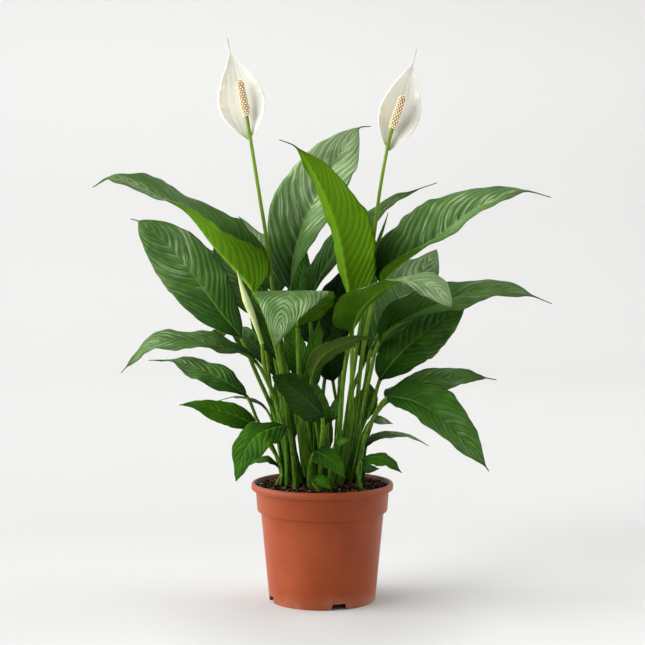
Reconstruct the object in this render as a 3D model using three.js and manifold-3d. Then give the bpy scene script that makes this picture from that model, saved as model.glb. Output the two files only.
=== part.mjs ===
// A potted peace lily: a clump of long-stalked leaves, two open flowers and a bud, standing in
// peat in a thin-walled plastic nursery pot. Millimetres, +Z up. The origin is the middle of the
// circle that the pot stands on, and -Y is the side that the plant is usually looked at from.
import * as THREE from 'three';
import { mergeVertices } from 'three/addons/utils/BufferGeometryUtils.js';
import Module from 'manifold-3d';

const wasm = await Module();
wasm.setup();

// ---------------------------------------------------------------- driving dimensions

const potHeight = 141;
const lipHeight = 8;
const collarHeight = 26;
const lipRadius = 85;
const collarRadius = 79.7;
const shoulderRadius = 78;
const bodyRadius = 73.6;
const footRadius = 63.8;
const wall = 1.7;
const floorHeight = 8;
const floorThickness = 2.4;

const soilHeight = 137;
const soilDome = 3;
const rootDepth = 12;
const bladeThickness = 0.9;
const standingGap = 0.3;
const holeGap = 0.5;
const holeFlare = 1.6;

// Each leaf: where its stalk stands in the soil, the points that the stalk and the midrib pass
// through, the blade's greatest breadth, and how far, in degrees, the blade rolls about its midrib
// and its two halves fold up from it, at its base, middle and tip. round and taper shape the
// outline, drip is the share of the length that is a fine tip, ruffle and waves shape the edge, and
// sheath is how much broader the stalk is at its foot than at its top.
const leaves = [
  {
    name: 'leaf_left_crest', foot: [-24, -2],
    stalk: [[-37, -6, 192], [-54, -8, 300]],
    blade: [[-78, -5, 366], [-101, -10, 394], [-126, -20, 423], [-159, -34, 464], [-187, -44, 480],
      [-214, -50, 494], [-241, -50, 503], [-269, -22, 492]],
    breadth: 108, roll: [-10, -8, -58], fold: [78, 18, 0], round: 0.5, taper: 0.95, drip: 0.12,
      curl: -4, sheath: 1.2,
  },
  {
    name: 'leaf_left_broad', foot: [-34, 14],
    stalk: [[-45, 10, 190], [-81, 8, 275]],
    blade: [[-97, 8, 313], [-122, 18, 343], [-144, 28, 372], [-168, 38, 402], [-194, 48, 429],
      [-214, 54, 445], [-227, 60, 454], [-235, 61, 456]],
    breadth: 71, roll: [-55, -62, -62], fold: [12, 8, 5], round: 0.8, taper: 0.72, drip: 0.05,
      sheath: 1.2,
  },
  {
    name: 'leaf_left_arching', foot: [-42, -14],
    stalk: [[-45, -30, 207], [-64, -36, 264]],
    blade: [[-77, -40, 288], [-96, -48, 301], [-118, -56, 308], [-147, -62, 315], [-177, -68, 316],
      [-202, -72, 308], [-230, -78, 279]],
    breadth: 56, roll: [-20, -20, -20], fold: [30, 12, 5], ruffle: 3, round: 0.9, taper: 1.0,
      drip: 0.05, sheath: 1.2,
  },
  {
    name: 'leaf_left_low', foot: [-46, 2],
    stalk: [[-57, 2, 177], [-78, 4, 215]],
    blade: [[-90, 8, 242], [-110, 16, 256], [-132, 26, 267], [-155, 34, 276], [-180, 42, 283],
      [-213, 50, 283]],
    breadth: 40, roll: [-35, -35, -20], fold: [15, 10, 5], round: 1.0, drip: 0.12, sheath: 1.2,
  },
  {
    name: 'leaf_left_young', foot: [-50, -12],
    stalk: [[-47, -14, 157], [-63, -18, 188]],
    blade: [[-78, -20, 209], [-100, -22, 222], [-128, -24, 231], [-151, -24, 237], [-169, -24,
      236]],
    breadth: 34, roll: [-50, -50, -40], fold: [10, 5, 5], ruffle: 0.5,
  },
  {
    name: 'leaf_front_left_low', foot: [-32, -34],
    stalk: [[-34, -42, 173]],
    blade: [[-42, -56, 213], [-60, -68, 213], [-78, -80, 204], [-90, -88, 185], [-98, -96, 157]],
    breadth: 48, roll: [-20, -25, -20], fold: [5, 5, 5], round: 0.6, taper: 1.0,
  },
  {
    name: 'leaf_back_tall', foot: [-14, 14],
    stalk: [[-29, 22, 213], [-37, 30, 321]],
    blade: [[-38, 36, 367], [-37, 46, 396], [-26, 60, 440], [-8, 76, 485], [17, 94, 530], [36, 106,
      559], [47, 112, 571], [61, 116, 573]],
    breadth: 93, roll: [20, 30, 56], fold: [54, 33, 10], round: 0.75, taper: 0.9, drip: 0.06,
      sheath: 1.3,
  },
  {
    name: 'leaf_front_tall', foot: [20, -12],
    stalk: [[32, -18, 206], [35, -18, 259], [35, -17, 307]],
    blade: [[34, -19, 355], [27, -27, 393], [21, -36, 427], [11, -47, 463], [-3, -58, 495], [-16,
      -66, 518], [-30, -70, 536], [-49, -78, 544]],
    breadth: 82, roll: [15, 18, 31], fold: [50, 49, 30], round: 0.55, taper: 1.05, drip: 0.1,
      sheath: 1.2,
  },
  {
    name: 'leaf_front_left_drooping', foot: [-8, -22],
    stalk: [[-24, -18, 206], [-28, -16, 277]],
    blade: [[-29, -20, 328], [-32, -52, 358], [-35, -90, 373], [-40, -120, 360], [-46, -142, 338],
      [-52, -158, 312]],
    breadth: 98, roll: [0, 0, 0], fold: [10, 0, 0], round: 0.6, taper: 1.25, ruffle: 1.5, curl: -5,
      sheath: 1.5,
  },
  {
    name: 'leaf_front_right_arching', foot: [10, -26],
    stalk: [[20, -28, 207], [24, -28, 260], [29, -29, 296]],
    blade: [[34, -32, 322], [41, -48, 345], [57, -66, 365], [79, -84, 380], [104, -98, 384], [126,
      -108, 378], [144, -114, 356]],
    breadth: 82, roll: [-6, 5, 20], fold: [32, 20, 5], round: 0.5, taper: 0.75, sheath: 1.1,
  },
  {
    name: 'leaf_right_high', foot: [22, 2],
    stalk: [[37, -6, 204], [49, -11, 306]],
    blade: [[67, -12, 376], [89, -16, 400], [115, -20, 419], [142, -28, 439], [169, -36, 461], [199,
      -40, 478], [229, -40, 488], [266, -36, 480]],
    breadth: 88, roll: [34, 45, 42], fold: [64, 43, -6], drip: 0.12,
  },
  {
    name: 'leaf_back_right_dark', foot: [4, 20],
    stalk: [[-5, 30, 200], [-13, 42, 296]],
    blade: [[-13, 52, 359], [0, 66, 390], [19, 80, 418], [42, 94, 441], [70, 108, 464], [101, 122,
      486], [146, 138, 503]],
    breadth: 52, roll: [10, 15, 20], fold: [30, 20, 10], drip: 0.12,
  },
  {
    name: 'leaf_spear', foot: [26, 10],
    stalk: [[41, 14, 238], [53, 18, 346]],
    blade: [[62, 20, 412], [69, 20, 430], [75, 21, 448], [79, 22, 463]],
    breadth: 9, roll: [0, 0, 0], fold: [50, 50, 50], ruffle: 0,
  },
  {
    name: 'leaf_right_level', foot: [32, -2],
    stalk: [[42, 6, 191], [58, 10, 272]],
    blade: [[68, 12, 308], [86, 15, 326], [110, 20, 340], [138, 24, 352], [166, 27, 363], [199, 26,
      371], [233, 20, 370], [272, -8, 355]],
    breadth: 66, roll: [38, 32, 34], fold: [58, 14, -5], drip: 0.1, taper: 1.1,
  },
  {
    name: 'leaf_right_back', foot: [28, 24],
    stalk: [[40, 27, 200], [53, 28, 261]],
    blade: [[59, 34, 297], [73, 46, 325], [91, 60, 353], [110, 74, 380], [128, 84, 399], [143, 92,
      418]],
    breadth: 76, roll: [20, 30, 30], fold: [20, 12, 5], taper: 0.85,
  },
  {
    name: 'leaf_right_broad', foot: [40, 10],
    stalk: [[43, 12, 190], [62, 12, 238]],
    blade: [[69, 16, 261], [83, 26, 280], [103, 38, 300], [128, 50, 319], [152, 60, 336], [176, 68,
      351]],
    breadth: 61, roll: [45, 50, 50], fold: [15, 8, 5], round: 0.7, taper: 0.8,
  },
  {
    name: 'leaf_right_low_far', foot: [44, -6],
    stalk: [[47, -8, 192], [66, -8, 226]],
    blade: [[79, -6, 244], [96, 2, 251], [120, 10, 259], [149, 18, 264], [181, 24, 266], [211, 28,
      261]],
    breadth: 36, roll: [45, 45, 45], fold: [20, 12, 5], round: 0.85, drip: 0.08, ruffle: 1.2,
      taper: 1.0,
  },
  {
    name: 'leaf_right_low_near', foot: [42, -24],
    stalk: [[49, -28, 195], [64, -34, 231]],
    blade: [[76, -40, 247], [92, -52, 247], [114, -66, 241], [136, -80, 227], [156, -92, 209], [173,
      -100, 191], [188, -106, 170]],
    breadth: 61, roll: [36, 36, 50], fold: [34, 32, 8], taper: 1.15, drip: 0.03,
  },
  {
    name: 'leaf_right_sliver', foot: [36, 17],
    stalk: [[36, 18, 162]],
    blade: [[44, 20, 174], [52, 21, 184], [63, 23, 192], [77, 26, 195], [94, 30, 195], [111, 34,
      190], [130, 38, 179]],
    breadth: 22, roll: [15, 15, 15], fold: [10, 5, 5], ruffle: 0.5,
  },
  {
    name: 'leaf_right_small', foot: [46, -38],
    stalk: [[41, -40, 161]],
    blade: [[46, -42, 173], [60, -48, 178], [76, -54, 175], [92, -60, 161]],
    breadth: 30, roll: [22, 22, 22], fold: [0, 0, 0], ruffle: 1,
  },
  {
    name: 'leaf_right_small_back', foot: [45, 2],
    stalk: [[39, 0, 153]],
    blade: [[42, 0, 159], [54, 4, 157], [69, 10, 155]],
    breadth: 14, roll: [60, 60, 60], fold: [5, 5, 5], ruffle: 0.5,
  },
  {
    name: 'leaf_front_low', foot: [-14, -44],
    stalk: [[-16, -46, 155]],
    blade: [[-9, -52, 184], [1, -60, 182], [13, -68, 174], [27, -78, 157]],
    breadth: 31, roll: [30, 32, 35], fold: [5, 12, 5], ruffle: 1, round: 0.55,
  },
  {
    name: 'leaf_front_tiny', foot: [6, -42],
    stalk: [[10, -40, 171]],
    blade: [[14, -42, 191], [23, -46, 196], [33, -50, 198]],
    breadth: 12, roll: [60, 60, 60], fold: [5, 5, 5], ruffle: 0.3,
  },
  {
    name: 'leaf_soil_small', foot: [-4, -56],
    stalk: [],
    blade: [[-11, -58, 151], [-2, -64, 153], [11, -72, 143]],
    breadth: 16, roll: [70, 60, 55], fold: [0, 0, 0], ruffle: 0.3,
  },
  {
    name: 'leaf_front_dark', foot: [-2, -34],
    stalk: [[-2, -38, 185]],
    blade: [[0, -50, 225], [-13, -62, 241], [-28, -72, 255], [-43, -82, 267], [-57, -86, 275]],
    breadth: 54, roll: [-58, -60, -60], fold: [8, 5, 5], ruffle: 1, round: 0.7, taper: 0.85,
  },
  {
    name: 'leaf_front_olive', foot: [2, -12],
    stalk: [[-3, -22, 182], [-11, -34, 243]],
    blade: [[-13, -42, 271], [-5, -50, 291], [11, -58, 305], [32, -64, 314], [50, -68, 319], [66,
      -70, 315]],
    breadth: 28, roll: [-45, -40, -30], fold: [20, 10, 10], ruffle: 1,
  },
  {
    name: 'leaf_back_shade', foot: [6, 34],
    stalk: [[0, 42, 210], [2, 48, 253]],
    blade: [[9, 56, 290], [11, 70, 316], [15, 86, 346], [20, 98, 373], [25, 106, 392]],
    breadth: 58, roll: [0, 0, 0], fold: [20, 10, 5], taper: 0.9,
  },
  {
    name: 'leaf_back_slim', foot: [-16, 34],
    stalk: [[-20, 42, 210], [-27, 56, 295]],
    blade: [[-30, 68, 350], [-28, 80, 373], [-24, 90, 395], [-19, 97, 418]],
    breadth: 32, roll: [0, 0, 0], fold: [20, 10, 5], ruffle: 1,
  },
  {
    name: 'leaf_back_left_small', foot: [-30, 30],
    stalk: [[-37, 36, 199], [-49, 48, 296]],
    blade: [[-57, 62, 363], [-67, 76, 393], [-80, 88, 423], [-93, 98, 446], [-105, 104, 460]],
    breadth: 52, roll: [-10, -15, -15], fold: [20, 10, 5],
  },
  {
    name: 'leaf_back_left', foot: [-38, 26],
    stalk: [[-44, 28, 200], [-56, 30, 279]],
    blade: [[-67, 34, 327], [-87, 46, 358], [-107, 58, 387], [-134, 68, 423]],
    breadth: 54, roll: [-20, -20, -20], fold: [20, 8, 5], taper: 0.85,
  },
  {
    name: 'leaf_left_inner', foot: [-24, 10],
    stalk: [[-38, 8, 202], [-47, 9, 257]],
    blade: [[-54, 11, 286], [-66, 13, 309], [-79, 17, 332], [-90, 22, 353]],
    breadth: 42, roll: [-20, -20, -20], fold: [30, 20, 10], ruffle: 1,
  },
  {
    name: 'leaf_left_pale', foot: [-48, 16],
    stalk: [[-54, 22, 188]],
    blade: [[-68, 30, 225], [-85, 36, 236], [-106, 42, 239], [-129, 48, 233]],
    breadth: 18, roll: [0, 0, 0], fold: [10, 5, 5], ruffle: 0.5,
  },
  {
    name: 'leaf_left_soil', foot: [-55, -3],
    stalk: [[-48, -4, 153]],
    blade: [[-53, -7, 161], [-62, -9, 169], [-74, -12, 170], [-91, -14, 162]],
    breadth: 18, roll: [-20, -20, -20], fold: [5, 5, 5], ruffle: 0.8,
  },
  {
    name: 'leaf_right_tiny', foot: [47, 27],
    stalk: [[45, 32, 175]],
    blade: [[59, 30, 211], [73, 34, 211], [86, 38, 206]],
    breadth: 12, roll: [60, 60, 60], fold: [5, 5, 5], ruffle: 0.3,
  },
  {
    name: 'leaf_right_inner', foot: [40, 30],
    stalk: [[36, 34, 175]],
    blade: [[42, 41, 203], [47, 46, 218], [54, 52, 235], [59, 58, 253]],
    breadth: 35, roll: [10, 20, 25], fold: [20, 10, 5], ruffle: 0.8, taper: 0.8,
  },
  {
    name: 'leaf_centre_gap', foot: [12, 24],
    stalk: [[8, 26, 176]],
    blade: [[7, 26, 209], [13, 29, 224], [20, 33, 243]],
    breadth: 30, roll: [0, 0, 0], fold: [8, 5, 5], ruffle: 0.5,
  },
  {
    name: 'leaf_centre_bright', foot: [-12, -8],
    stalk: [[-25, -6, 204], [-28, -6, 264]],
    blade: [[-28, -2, 268], [-31, -1, 293], [-37, -1, 319], [-43, -2, 340]],
    breadth: 30, roll: [-96, -96, -96], fold: [20, 15, 5], ruffle: 0.5,
  },
  {
    name: 'leaf_centre_back', foot: [-4, 6],
    stalk: [[-15, 12, 190]],
    blade: [[-17, 13, 245], [-12, 17, 274], [-8, 23, 306], [-3, 31, 336]],
    breadth: 36, roll: [0, 0, 0], fold: [25, 15, 5],
  },
  {
    name: 'leaf_centre_slim', foot: [8, -2],
    stalk: [[3, -4, 180]],
    blade: [[3, -6, 210], [-2, -10, 235], [-9, -16, 266]],
    breadth: 20, roll: [-110, -110, -110], fold: [25, 15, 5], ruffle: 0.5,
  },
  {
    name: 'leaf_centre_shade', foot: [24, 31],
    stalk: [[22, 38, 199]],
    blade: [[13, 40, 258], [11, 42, 274], [14, 46, 296], [18, 50, 320]],
    breadth: 42, roll: [0, 0, 0], fold: [20, 10, 5], ruffle: 1, taper: 0.9,
  },
  {
    name: 'leaf_behind_middle', foot: [-6, 42],
    stalk: [[-10, 60, 230]],
    blade: [[-14, 76, 300], [-18, 100, 340], [-22, 128, 356], [-26, 146, 352], [-30, 161, 336]],
    breadth: 61, roll: [0, 0, 0], fold: [25, 12, 10],
  },
  {
    name: 'leaf_behind_right', foot: [24, 42],
    stalk: [[33, 62, 230]],
    blade: [[52, 66, 280], [70, 92, 312], [88, 120, 322], [102, 144, 314], [112, 157, 292]],
    breadth: 60, roll: [0, 0, 0], fold: [25, 12, 10],
  },
  {
    name: 'leaf_behind_left', foot: [-34, 40],
    stalk: [[-46, 46, 200]],
    blade: [[-58, 56, 262], [-84, 82, 300], [-108, 108, 316], [-130, 132, 312], [-148, 152, 292]],
    breadth: 60, roll: [0, 0, 0], fold: [25, 12, 10],
  },
  {
    name: 'leaf_behind_low_right', foot: [40, 44],
    stalk: [[48, 52, 172], [64, 60, 211]],
    blade: [[81, 68, 230], [102, 84, 228], [128, 100, 219], [154, 112, 202], [173, 120, 183]],
    breadth: 38, roll: [0, 0, 0], fold: [25, 12, 10],
  },
  {
    name: 'leaf_behind_low_left', foot: [-36, 48],
    stalk: [[-39, 55, 156]],
    blade: [[-43, 64, 174], [-46, 76, 206], [-50, 86, 240], [-52, 92, 266]],
    breadth: 38, roll: [0, 0, 0], fold: [15, 10, 5], taper: 0.9,
  },
  {
    name: 'leaf_behind_low', foot: [-3, 59],
    stalk: [],
    blade: [[-4, 66, 152], [-4, 74, 180], [-5, 80, 215], [-6, 82, 248]],
    breadth: 36, roll: [0, 0, 0], fold: [15, 10, 5], taper: 0.9,
  },
  {
    name: 'leaf_behind_tall', foot: [-22, 56],
    stalk: [[-34, 66, 230], [-57, 90, 335]],
    blade: [[-51, 103, 382], [-42, 116, 422], [-34, 130, 460], [-26, 144, 484], [-18, 152, 498]],
    breadth: 54, roll: [0, 0, 0], fold: [25, 12, 10],
  },
  {
    name: 'leaf_behind_high_right', foot: [16, 54],
    stalk: [[20, 72, 230]],
    blade: [[28, 92, 318], [44, 116, 362], [62, 134, 386], [80, 148, 388], [92, 156, 376]],
    breadth: 56, roll: [0, 0, 0], fold: [25, 12, 10],
  },
  {
    name: 'leaf_behind_high_left', foot: [-46, 33],
    stalk: [[-62, 42, 240]],
    blade: [[-74, 58, 325], [-94, 80, 378], [-118, 100, 408], [-142, 116, 416], [-160, 126, 406]],
    breadth: 56, roll: [0, 0, 0], fold: [25, 12, 10],
  },
  {
    name: 'leaf_behind_side_right', foot: [50, 38],
    stalk: [[52, 42, 173], [63, 47, 211]],
    blade: [[78, 54, 234], [99, 72, 247], [125, 90, 247], [149, 104, 238], [165, 114, 225]],
    breadth: 38, roll: [0, 0, 0], fold: [25, 12, 10],
  },
];

// Each flower: its scape from the soil up, the spadix at its end, and the white spathe behind that.
const flowers = [
  { name: 'left', foot: [-30, -22],
    scape: [[-39, -24, 207], [-47, -18, 278], [-55, -12, 336], [-59, -11, 374], [-65, -16, 427],
      [-73, -22, 478], [-84, -25, 549], [-88, -26, 575]],
    spadixTip: [-96, -28, 616], spadixRadius: 5.6,
    spathe: { blade: [[-86, -22, 548], [-88, -17, 566], [-94, -12, 597], [-102, -13, 629],
      [-108, -17, 650], [-111, -21, 666]],
    breadth: 62, roll: [-8, -8, 0], fold: [18, 4, 6], curl: 34 } },
  { name: 'right', foot: [18, 13],
    scape: [[27, 16, 201], [45, 12, 323], [55, 10, 383], [62, 9, 438], [68, 8, 486], [77, 6, 538],
      [83, 5, 563]],
    spadixTip: [96, 3, 601], spadixRadius: 5.6,
    spathe: { blade: [[79, 9, 537], [84, 14, 557], [94, 19, 590], [102, 18, 621], [108, 14, 642],
      [112, 10, 657]],
    breadth: 55, roll: [5, 5, 0], fold: [18, 4, 6], curl: 34 } },
];

const bud = {
  foot: [-36, -2],
  footRadius: 2.8,
  topRadius: 2,
  stalk: [[-41, -4, 156], [-56, -14, 241], [-64, -16, 265], [-69, -18, 283], [-71, -20, 307]],
  spindle: [[-71, -20, 307], [-80, -22, 336], [-90, -24, 362], [-100, -26, 395]],
  radius: 4.4,
};

// ---------------------------------------------------------------- colours and roughness

const leafGreen = 0x2f6a26;
const youngGreen = 0x5b8f2c;
const stalkGreen = 0x6d9440;
const leafGloss = 0.45;
const petalGloss = 0.5;
const white = 0xf1efe4;
const cream = 0xd9c39a;
const terracotta = 0xb0603f;
const peat = 0x2a1e17;

// ---------------------------------------------------------------- solids and meshes

const vec = (p) => new THREE.Vector3(...p);
const mix = (a, b, t) => a + (b - a) * t;
const smooth = (lo, hi, x) => THREE.MathUtils.smoothstep(x, lo, hi);
const radians = THREE.MathUtils.degToRad;

// A closed triangle mesh as a manifold-3d solid with its faces outwards.
function solid(geometry) {
  const bare = geometry.clone();
  bare.deleteAttribute('normal');
  bare.deleteAttribute('uv');
  const merged = mergeVertices(bare, 1e-4);
  const triVerts = new Uint32Array(merged.index.array);
  const vertProperties = merged.attributes.position.array;
  const made = new wasm.Manifold(new wasm.Mesh({ numProp: 3, vertProperties, triVerts }));
  if (made.volume() > 0) return made;
  for (let i = 0; i < triVerts.length; i += 3) {
    [triVerts[i + 1], triVerts[i + 2]] = [triVerts[i + 2], triVerts[i + 1]];
  }
  return new wasm.Manifold(new wasm.Mesh({ numProp: 3, vertProperties, triVerts }));
}

// A manifold-3d solid as a three.js geometry.
function geometryOf(made) {
  const mesh = made.getMesh();
  const geometry = new THREE.BufferGeometry();
  geometry.setAttribute('position', new THREE.BufferAttribute(new Float32Array(mesh.vertProperties), 3));
  geometry.setIndex(new THREE.BufferAttribute(new Uint32Array(mesh.triVerts), 1));
  return geometry;
}

// A skin over rings of points, closed at both ends. On a leaf each ring runs left to right over the
// top and back right to left underneath, and the two faces are split into triangles alike.
function skinOver(rings) {
  const count = rings[0].length;
  const positions = rings.flat().flatMap((p) => [p.x, p.y, p.z]);
  const index = [];
  for (let i = 0; i + 1 < rings.length; i++) {
    for (let k = 0; k < count; k++) {
      const next = (k + 1) % count;
      const [a, b] = [i * count + k, i * count + next];
      const [c, d] = [b + count, a + count];
      if (k < count / 2) index.push(a, b, c, a, c, d);
      else index.push(a, b, d, b, c, d);
    }
  }
  for (let k = 1; k + 1 < count; k++) {
    const last = (rings.length - 1) * count;
    index.push(0, k + 1, k, last, last + k, last + k + 1);
  }
  const geometry = new THREE.BufferGeometry();
  geometry.setAttribute('position', new THREE.BufferAttribute(new Float32Array(positions), 3));
  geometry.setIndex(index);
  return solid(geometry);
}

const plant = new THREE.Group();

function place(name, made, color, roughness) {
  const material = new THREE.MeshStandardMaterial({ color, roughness, metalness: 0 });
  const mesh = new THREE.Mesh(geometryOf(made), material);
  mesh.name = name;
  plant.add(mesh);
}

// ---------------------------------------------------------------- lines that stems follow

// A smooth line through the points, which can be asked for a place and a direction by length.
function lineThrough(points) {
  const curve = new THREE.CatmullRomCurve3(points.map(vec), false, 'centripetal');
  const perSpan = 30;
  const steps = perSpan * (points.length - 1);
  const walk = curve.getPoints(steps);
  const lengths = [0];
  for (let i = 1; i <= steps; i++) lengths.push(lengths[i - 1] + walk[i].distanceTo(walk[i - 1]));
  const at = (length) => {
    const sought = THREE.MathUtils.clamp(length, 0, lengths[steps]);
    let i = 1;
    while (i < steps && lengths[i] < sought) i++;
    const share = (sought - lengths[i - 1]) / (lengths[i] - lengths[i - 1]);
    return walk[i - 1].clone().lerp(walk[i], share);
  };
  const along = (length) => at(length + 1).sub(at(length - 1)).normalize();
  return { at, along, end: lengths[steps], lengthAt: (point) => lengths[perSpan * point] };
}

const rooted = ([x, y]) => [[x, y, soilHeight - rootDepth], [x, y, soilHeight]];

// A round stem along a line: radiusAt gives its radius at the share q of its length.
function stem(line, radiusAt, sides, rings) {
  const ringAt = (q) => {
    const ahead = line.along(q * line.end);
    const side = new THREE.Vector3(1, 0, 0);
    side.addScaledVector(ahead, -side.dot(ahead)).normalize();
    const front = side.clone().cross(ahead);
    return [...Array(sides)].map((_, k) => {
      const turn = 2 * Math.PI * k / sides;
      const radius = radiusAt(q, turn);
      return line.at(q * line.end)
        .addScaledVector(side, radius * Math.cos(turn))
        .addScaledVector(front, radius * Math.sin(turn));
    });
  };
  return skinOver([...Array(rings)].map((_, i) => ringAt(i / (rings - 1))));
}

// ---------------------------------------------------------------- leaves

// A value given at the blade's base, middle and tip, at the share s of its length.
function spread([base, middle, tip], s) {
  return s < 0.5 ? mix(base, middle, smooth(0, 0.5, s)) : mix(middle, tip, smooth(0.5, 1, s));
}

// How broad the blade is at s, as a share of its greatest breadth.
function outline({ round = 0.7, taper = 1.25, drip = 0 }, s) {
  const widest = round / (round + taper);
  const filled = Math.min(1, s / (1 - drip));
  return (filled / widest) ** round * ((1 - filled) / (1 - widest)) ** taper;
}

// Half the stalk's breadth and thickness at the share q of its length from the root.
function stalkSize(leaf, q) {
  const slim = 1.4 + leaf.breadth * 0.015;
  const { sheath = 0.8 } = leaf;
  const grown = 1 + sheath * (1 - smooth(0.05, 0.75, q));
  return [slim * grown, slim * (0.8 + 0.2 * grown)];
}

// The directions across and up from the blade where it runs ahead, before it is rolled.
function bladeFrame(leaf, ahead) {
  const outward = leaf.facing === undefined
    ? vec(leaf.blade.at(-1)).sub(vec(leaf.blade[0])).setZ(0).normalize()
    : new THREE.Vector3(Math.sin(radians(leaf.facing)), -Math.cos(radians(leaf.facing)), 0);
  const side = new THREE.Vector3(outward.y, -outward.x, 0);
  return side.addScaledVector(ahead, -side.dot(ahead)).normalize();
}

// A point of the blade's middle surface: s along it from base to tip, u across it from -1 to 1.
function bladePoint(leaf, line, collar, s, u) {
  const length = collar + s * (line.end - collar);
  const ahead = line.along(length);
  const side = bladeFrame(leaf, ahead).applyAxisAngle(ahead, radians(spread(leaf.roll, s)));
  const up = side.clone().cross(ahead);
  const rim = mix(stalkSize(leaf, 1)[0], 0.5, s ** 3);
  const half = Math.max(leaf.breadth / 2 * outline(leaf, s), rim);
  const fold = radians(spread(leaf.fold, s));
  const { curl = -20, ruffle = 2.5, waves = 3 } = leaf;
  const bend = radians(curl);
  const across = Math.abs(u);
  const run = half * (Math.sin(fold + bend * across) - Math.sin(fold)) / bend;
  const rise = half * (Math.cos(fold) - Math.cos(fold + bend * across)) / bend;
  const swell = Math.sin(2 * Math.PI * (waves * s + (u > 0 ? 0.27 : 0)));
  const lift = ruffle * across ** 2 * swell * smooth(0, 0.25, s) * (1 - smooth(0.8, 1, s));
  return line.at(length).addScaledVector(side, Math.sign(u) * run).addScaledVector(up, rise + lift);
}

function bladeNormal(leaf, line, collar, s, u) {
  const at = (a, b) => bladePoint(leaf, line, collar, THREE.MathUtils.clamp(a, 0, 1), b);
  const along = at(s + 0.004, u).sub(at(s - 0.004, u));
  const across = at(s, Math.min(u + 0.04, 1)).sub(at(s, Math.max(u - 0.04, -1)));
  return across.cross(along).normalize();
}

// One ring of a blade at s: over its upper face and back underneath, with a keel along the midrib.
function bladeRing(leaf, line, collar, columns, keel, s) {
  const top = [];
  const under = [];
  for (let j = 0; j < columns; j++) {
    const u = -1 + 2 * j / (columns - 1);
    const middle = bladePoint(leaf, line, collar, s, u);
    const normal = bladeNormal(leaf, line, collar, s, u);
    const depth = u === 0 ? keel * (1 - s) ** 1.5 : 0;
    top.push(middle.clone().addScaledVector(normal, bladeThickness / 2));
    under.unshift(middle.clone().addScaledVector(normal, -bladeThickness / 2 - depth));
  }
  return [...top, ...under];
}

// Where the rings of a small, a middling and a large leaf lie along its stalk and its blade.
const detail = [
  { columns: 3, stalkSteps: [0, 0.3, 0.7, 1], bladeSteps: [0.1, 0.3, 0.55, 0.8, 1] },
  { columns: 3, stalkSteps: [0, 0.15, 0.5, 0.8, 1], bladeSteps: [0.06, 0.2, 0.36, 0.52, 0.68, 0.84, 1] },
  { columns: 5,
    stalkSteps: [0, 0.12, 0.4, 0.7, 1],
    bladeSteps: [0.05, 0.14, 0.24, 0.35, 0.46, 0.57, 0.68, 0.79, 0.9, 1] },
];

// A whole leaf as one loft: an oval stalk that opens out into a thin blade.
function leafSolid(leaf) {
  const line = lineThrough([...rooted(leaf.foot), ...leaf.stalk, ...leaf.blade]);
  const collar = line.lengthAt(2 + leaf.stalk.length);
  const { columns, stalkSteps, bladeSteps } = detail[leaf.breadth > 45 ? 2 : leaf.breadth > 25 ? 1 : 0];
  const ovalAt = (q) => {
    const ahead = line.along(q * collar);
    const side = bladeFrame(leaf, ahead).applyAxisAngle(ahead, radians(leaf.roll[0]) * smooth(0.3, 1, q));
    const up = side.clone().cross(ahead);
    const [wide, thick] = stalkSize(leaf, q);
    return [...Array(2 * columns)].map((_, k) => {
      const turn = Math.PI * (k + 0.5) / columns;
      return line.at(q * collar)
        .addScaledVector(side, -wide * Math.cos(turn))
        .addScaledVector(up, thick * Math.sin(turn));
    });
  };
  const keel = stalkSize(leaf, 1)[1];
  return skinOver([
    ...stalkSteps.map(ovalAt),
    ...bladeSteps.map((s) => bladeRing(leaf, line, collar, columns, keel, s)),
  ]);
}

for (const leaf of leaves) place(leaf.name, leafSolid(leaf), leafGreen, leafGloss);

// ---------------------------------------------------------------- flowers

const scapeFoot = 3.0;
const scapeTop = 1.9;
const stemSides = 8;
const spatheShape = { facing: 180, round: 0.75, taper: 1.15, drip: 0.14, ruffle: 0 };

function scapeLine(flower) {
  return lineThrough([...rooted(flower.foot), ...flower.scape]);
}

// The spadix: a blunt finger, closely set with small florets that stand out in a diagonal net.
function spadix(flower) {
  const start = vec(flower.scape.at(-1));
  const tip = vec(flower.spadixTip);
  const clear = tip.clone().sub(start).normalize().multiplyScalar(1.5 * standingGap);
  const line = lineThrough([start.add(clear).toArray(), tip.toArray()]);
  const rings = 15;
  const sides = 10;
  const radiusAt = (q, turn) => {
    const blunt = Math.sqrt(Math.max(0.03, 1 - (Math.max(0, q - 0.84) / 0.16) ** 2));
    const checker = (Math.round(q * (rings - 1)) + Math.round(turn * sides / (2 * Math.PI))) % 2;
    const finger = (0.75 + 0.25 * smooth(0, 0.2, q)) * (1 - 0.2 * q) * blunt;
    return flower.spadixRadius * finger * (checker ? 1 : 0.9);
  };
  return stem(line, radiusAt, sides, rings);
}

// The spathe: a cupped white blade that clasps the scape just below the spadix.
function spathe(flower) {
  const form = { ...spatheShape, ...flower.spathe };
  const line = lineThrough(form.blade);
  const steps = [0, 0.06, 0.15, 0.25, 0.36, 0.48, 0.6, 0.72, 0.84, 0.94, 1];
  const loft = skinOver(steps.map((s) => bladeRing(form, line, 0, 7, 0, s)));
  const clearRadius = scapeTop + standingGap + 0.2;
  return loft.subtract(stem(scapeLine(flower), () => clearRadius, stemSides, 40));
}

for (const flower of flowers) {
  place(`scape_${flower.name}`, stem(scapeLine(flower), (q) => mix(scapeFoot, scapeTop, q), stemSides, 18),
    stalkGreen, leafGloss);
  place(`spathe_${flower.name}`, spathe(flower), white, petalGloss);
  place(`spadix_${flower.name}`, spadix(flower), cream, 0.7);
}

// ---------------------------------------------------------------- bud

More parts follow.
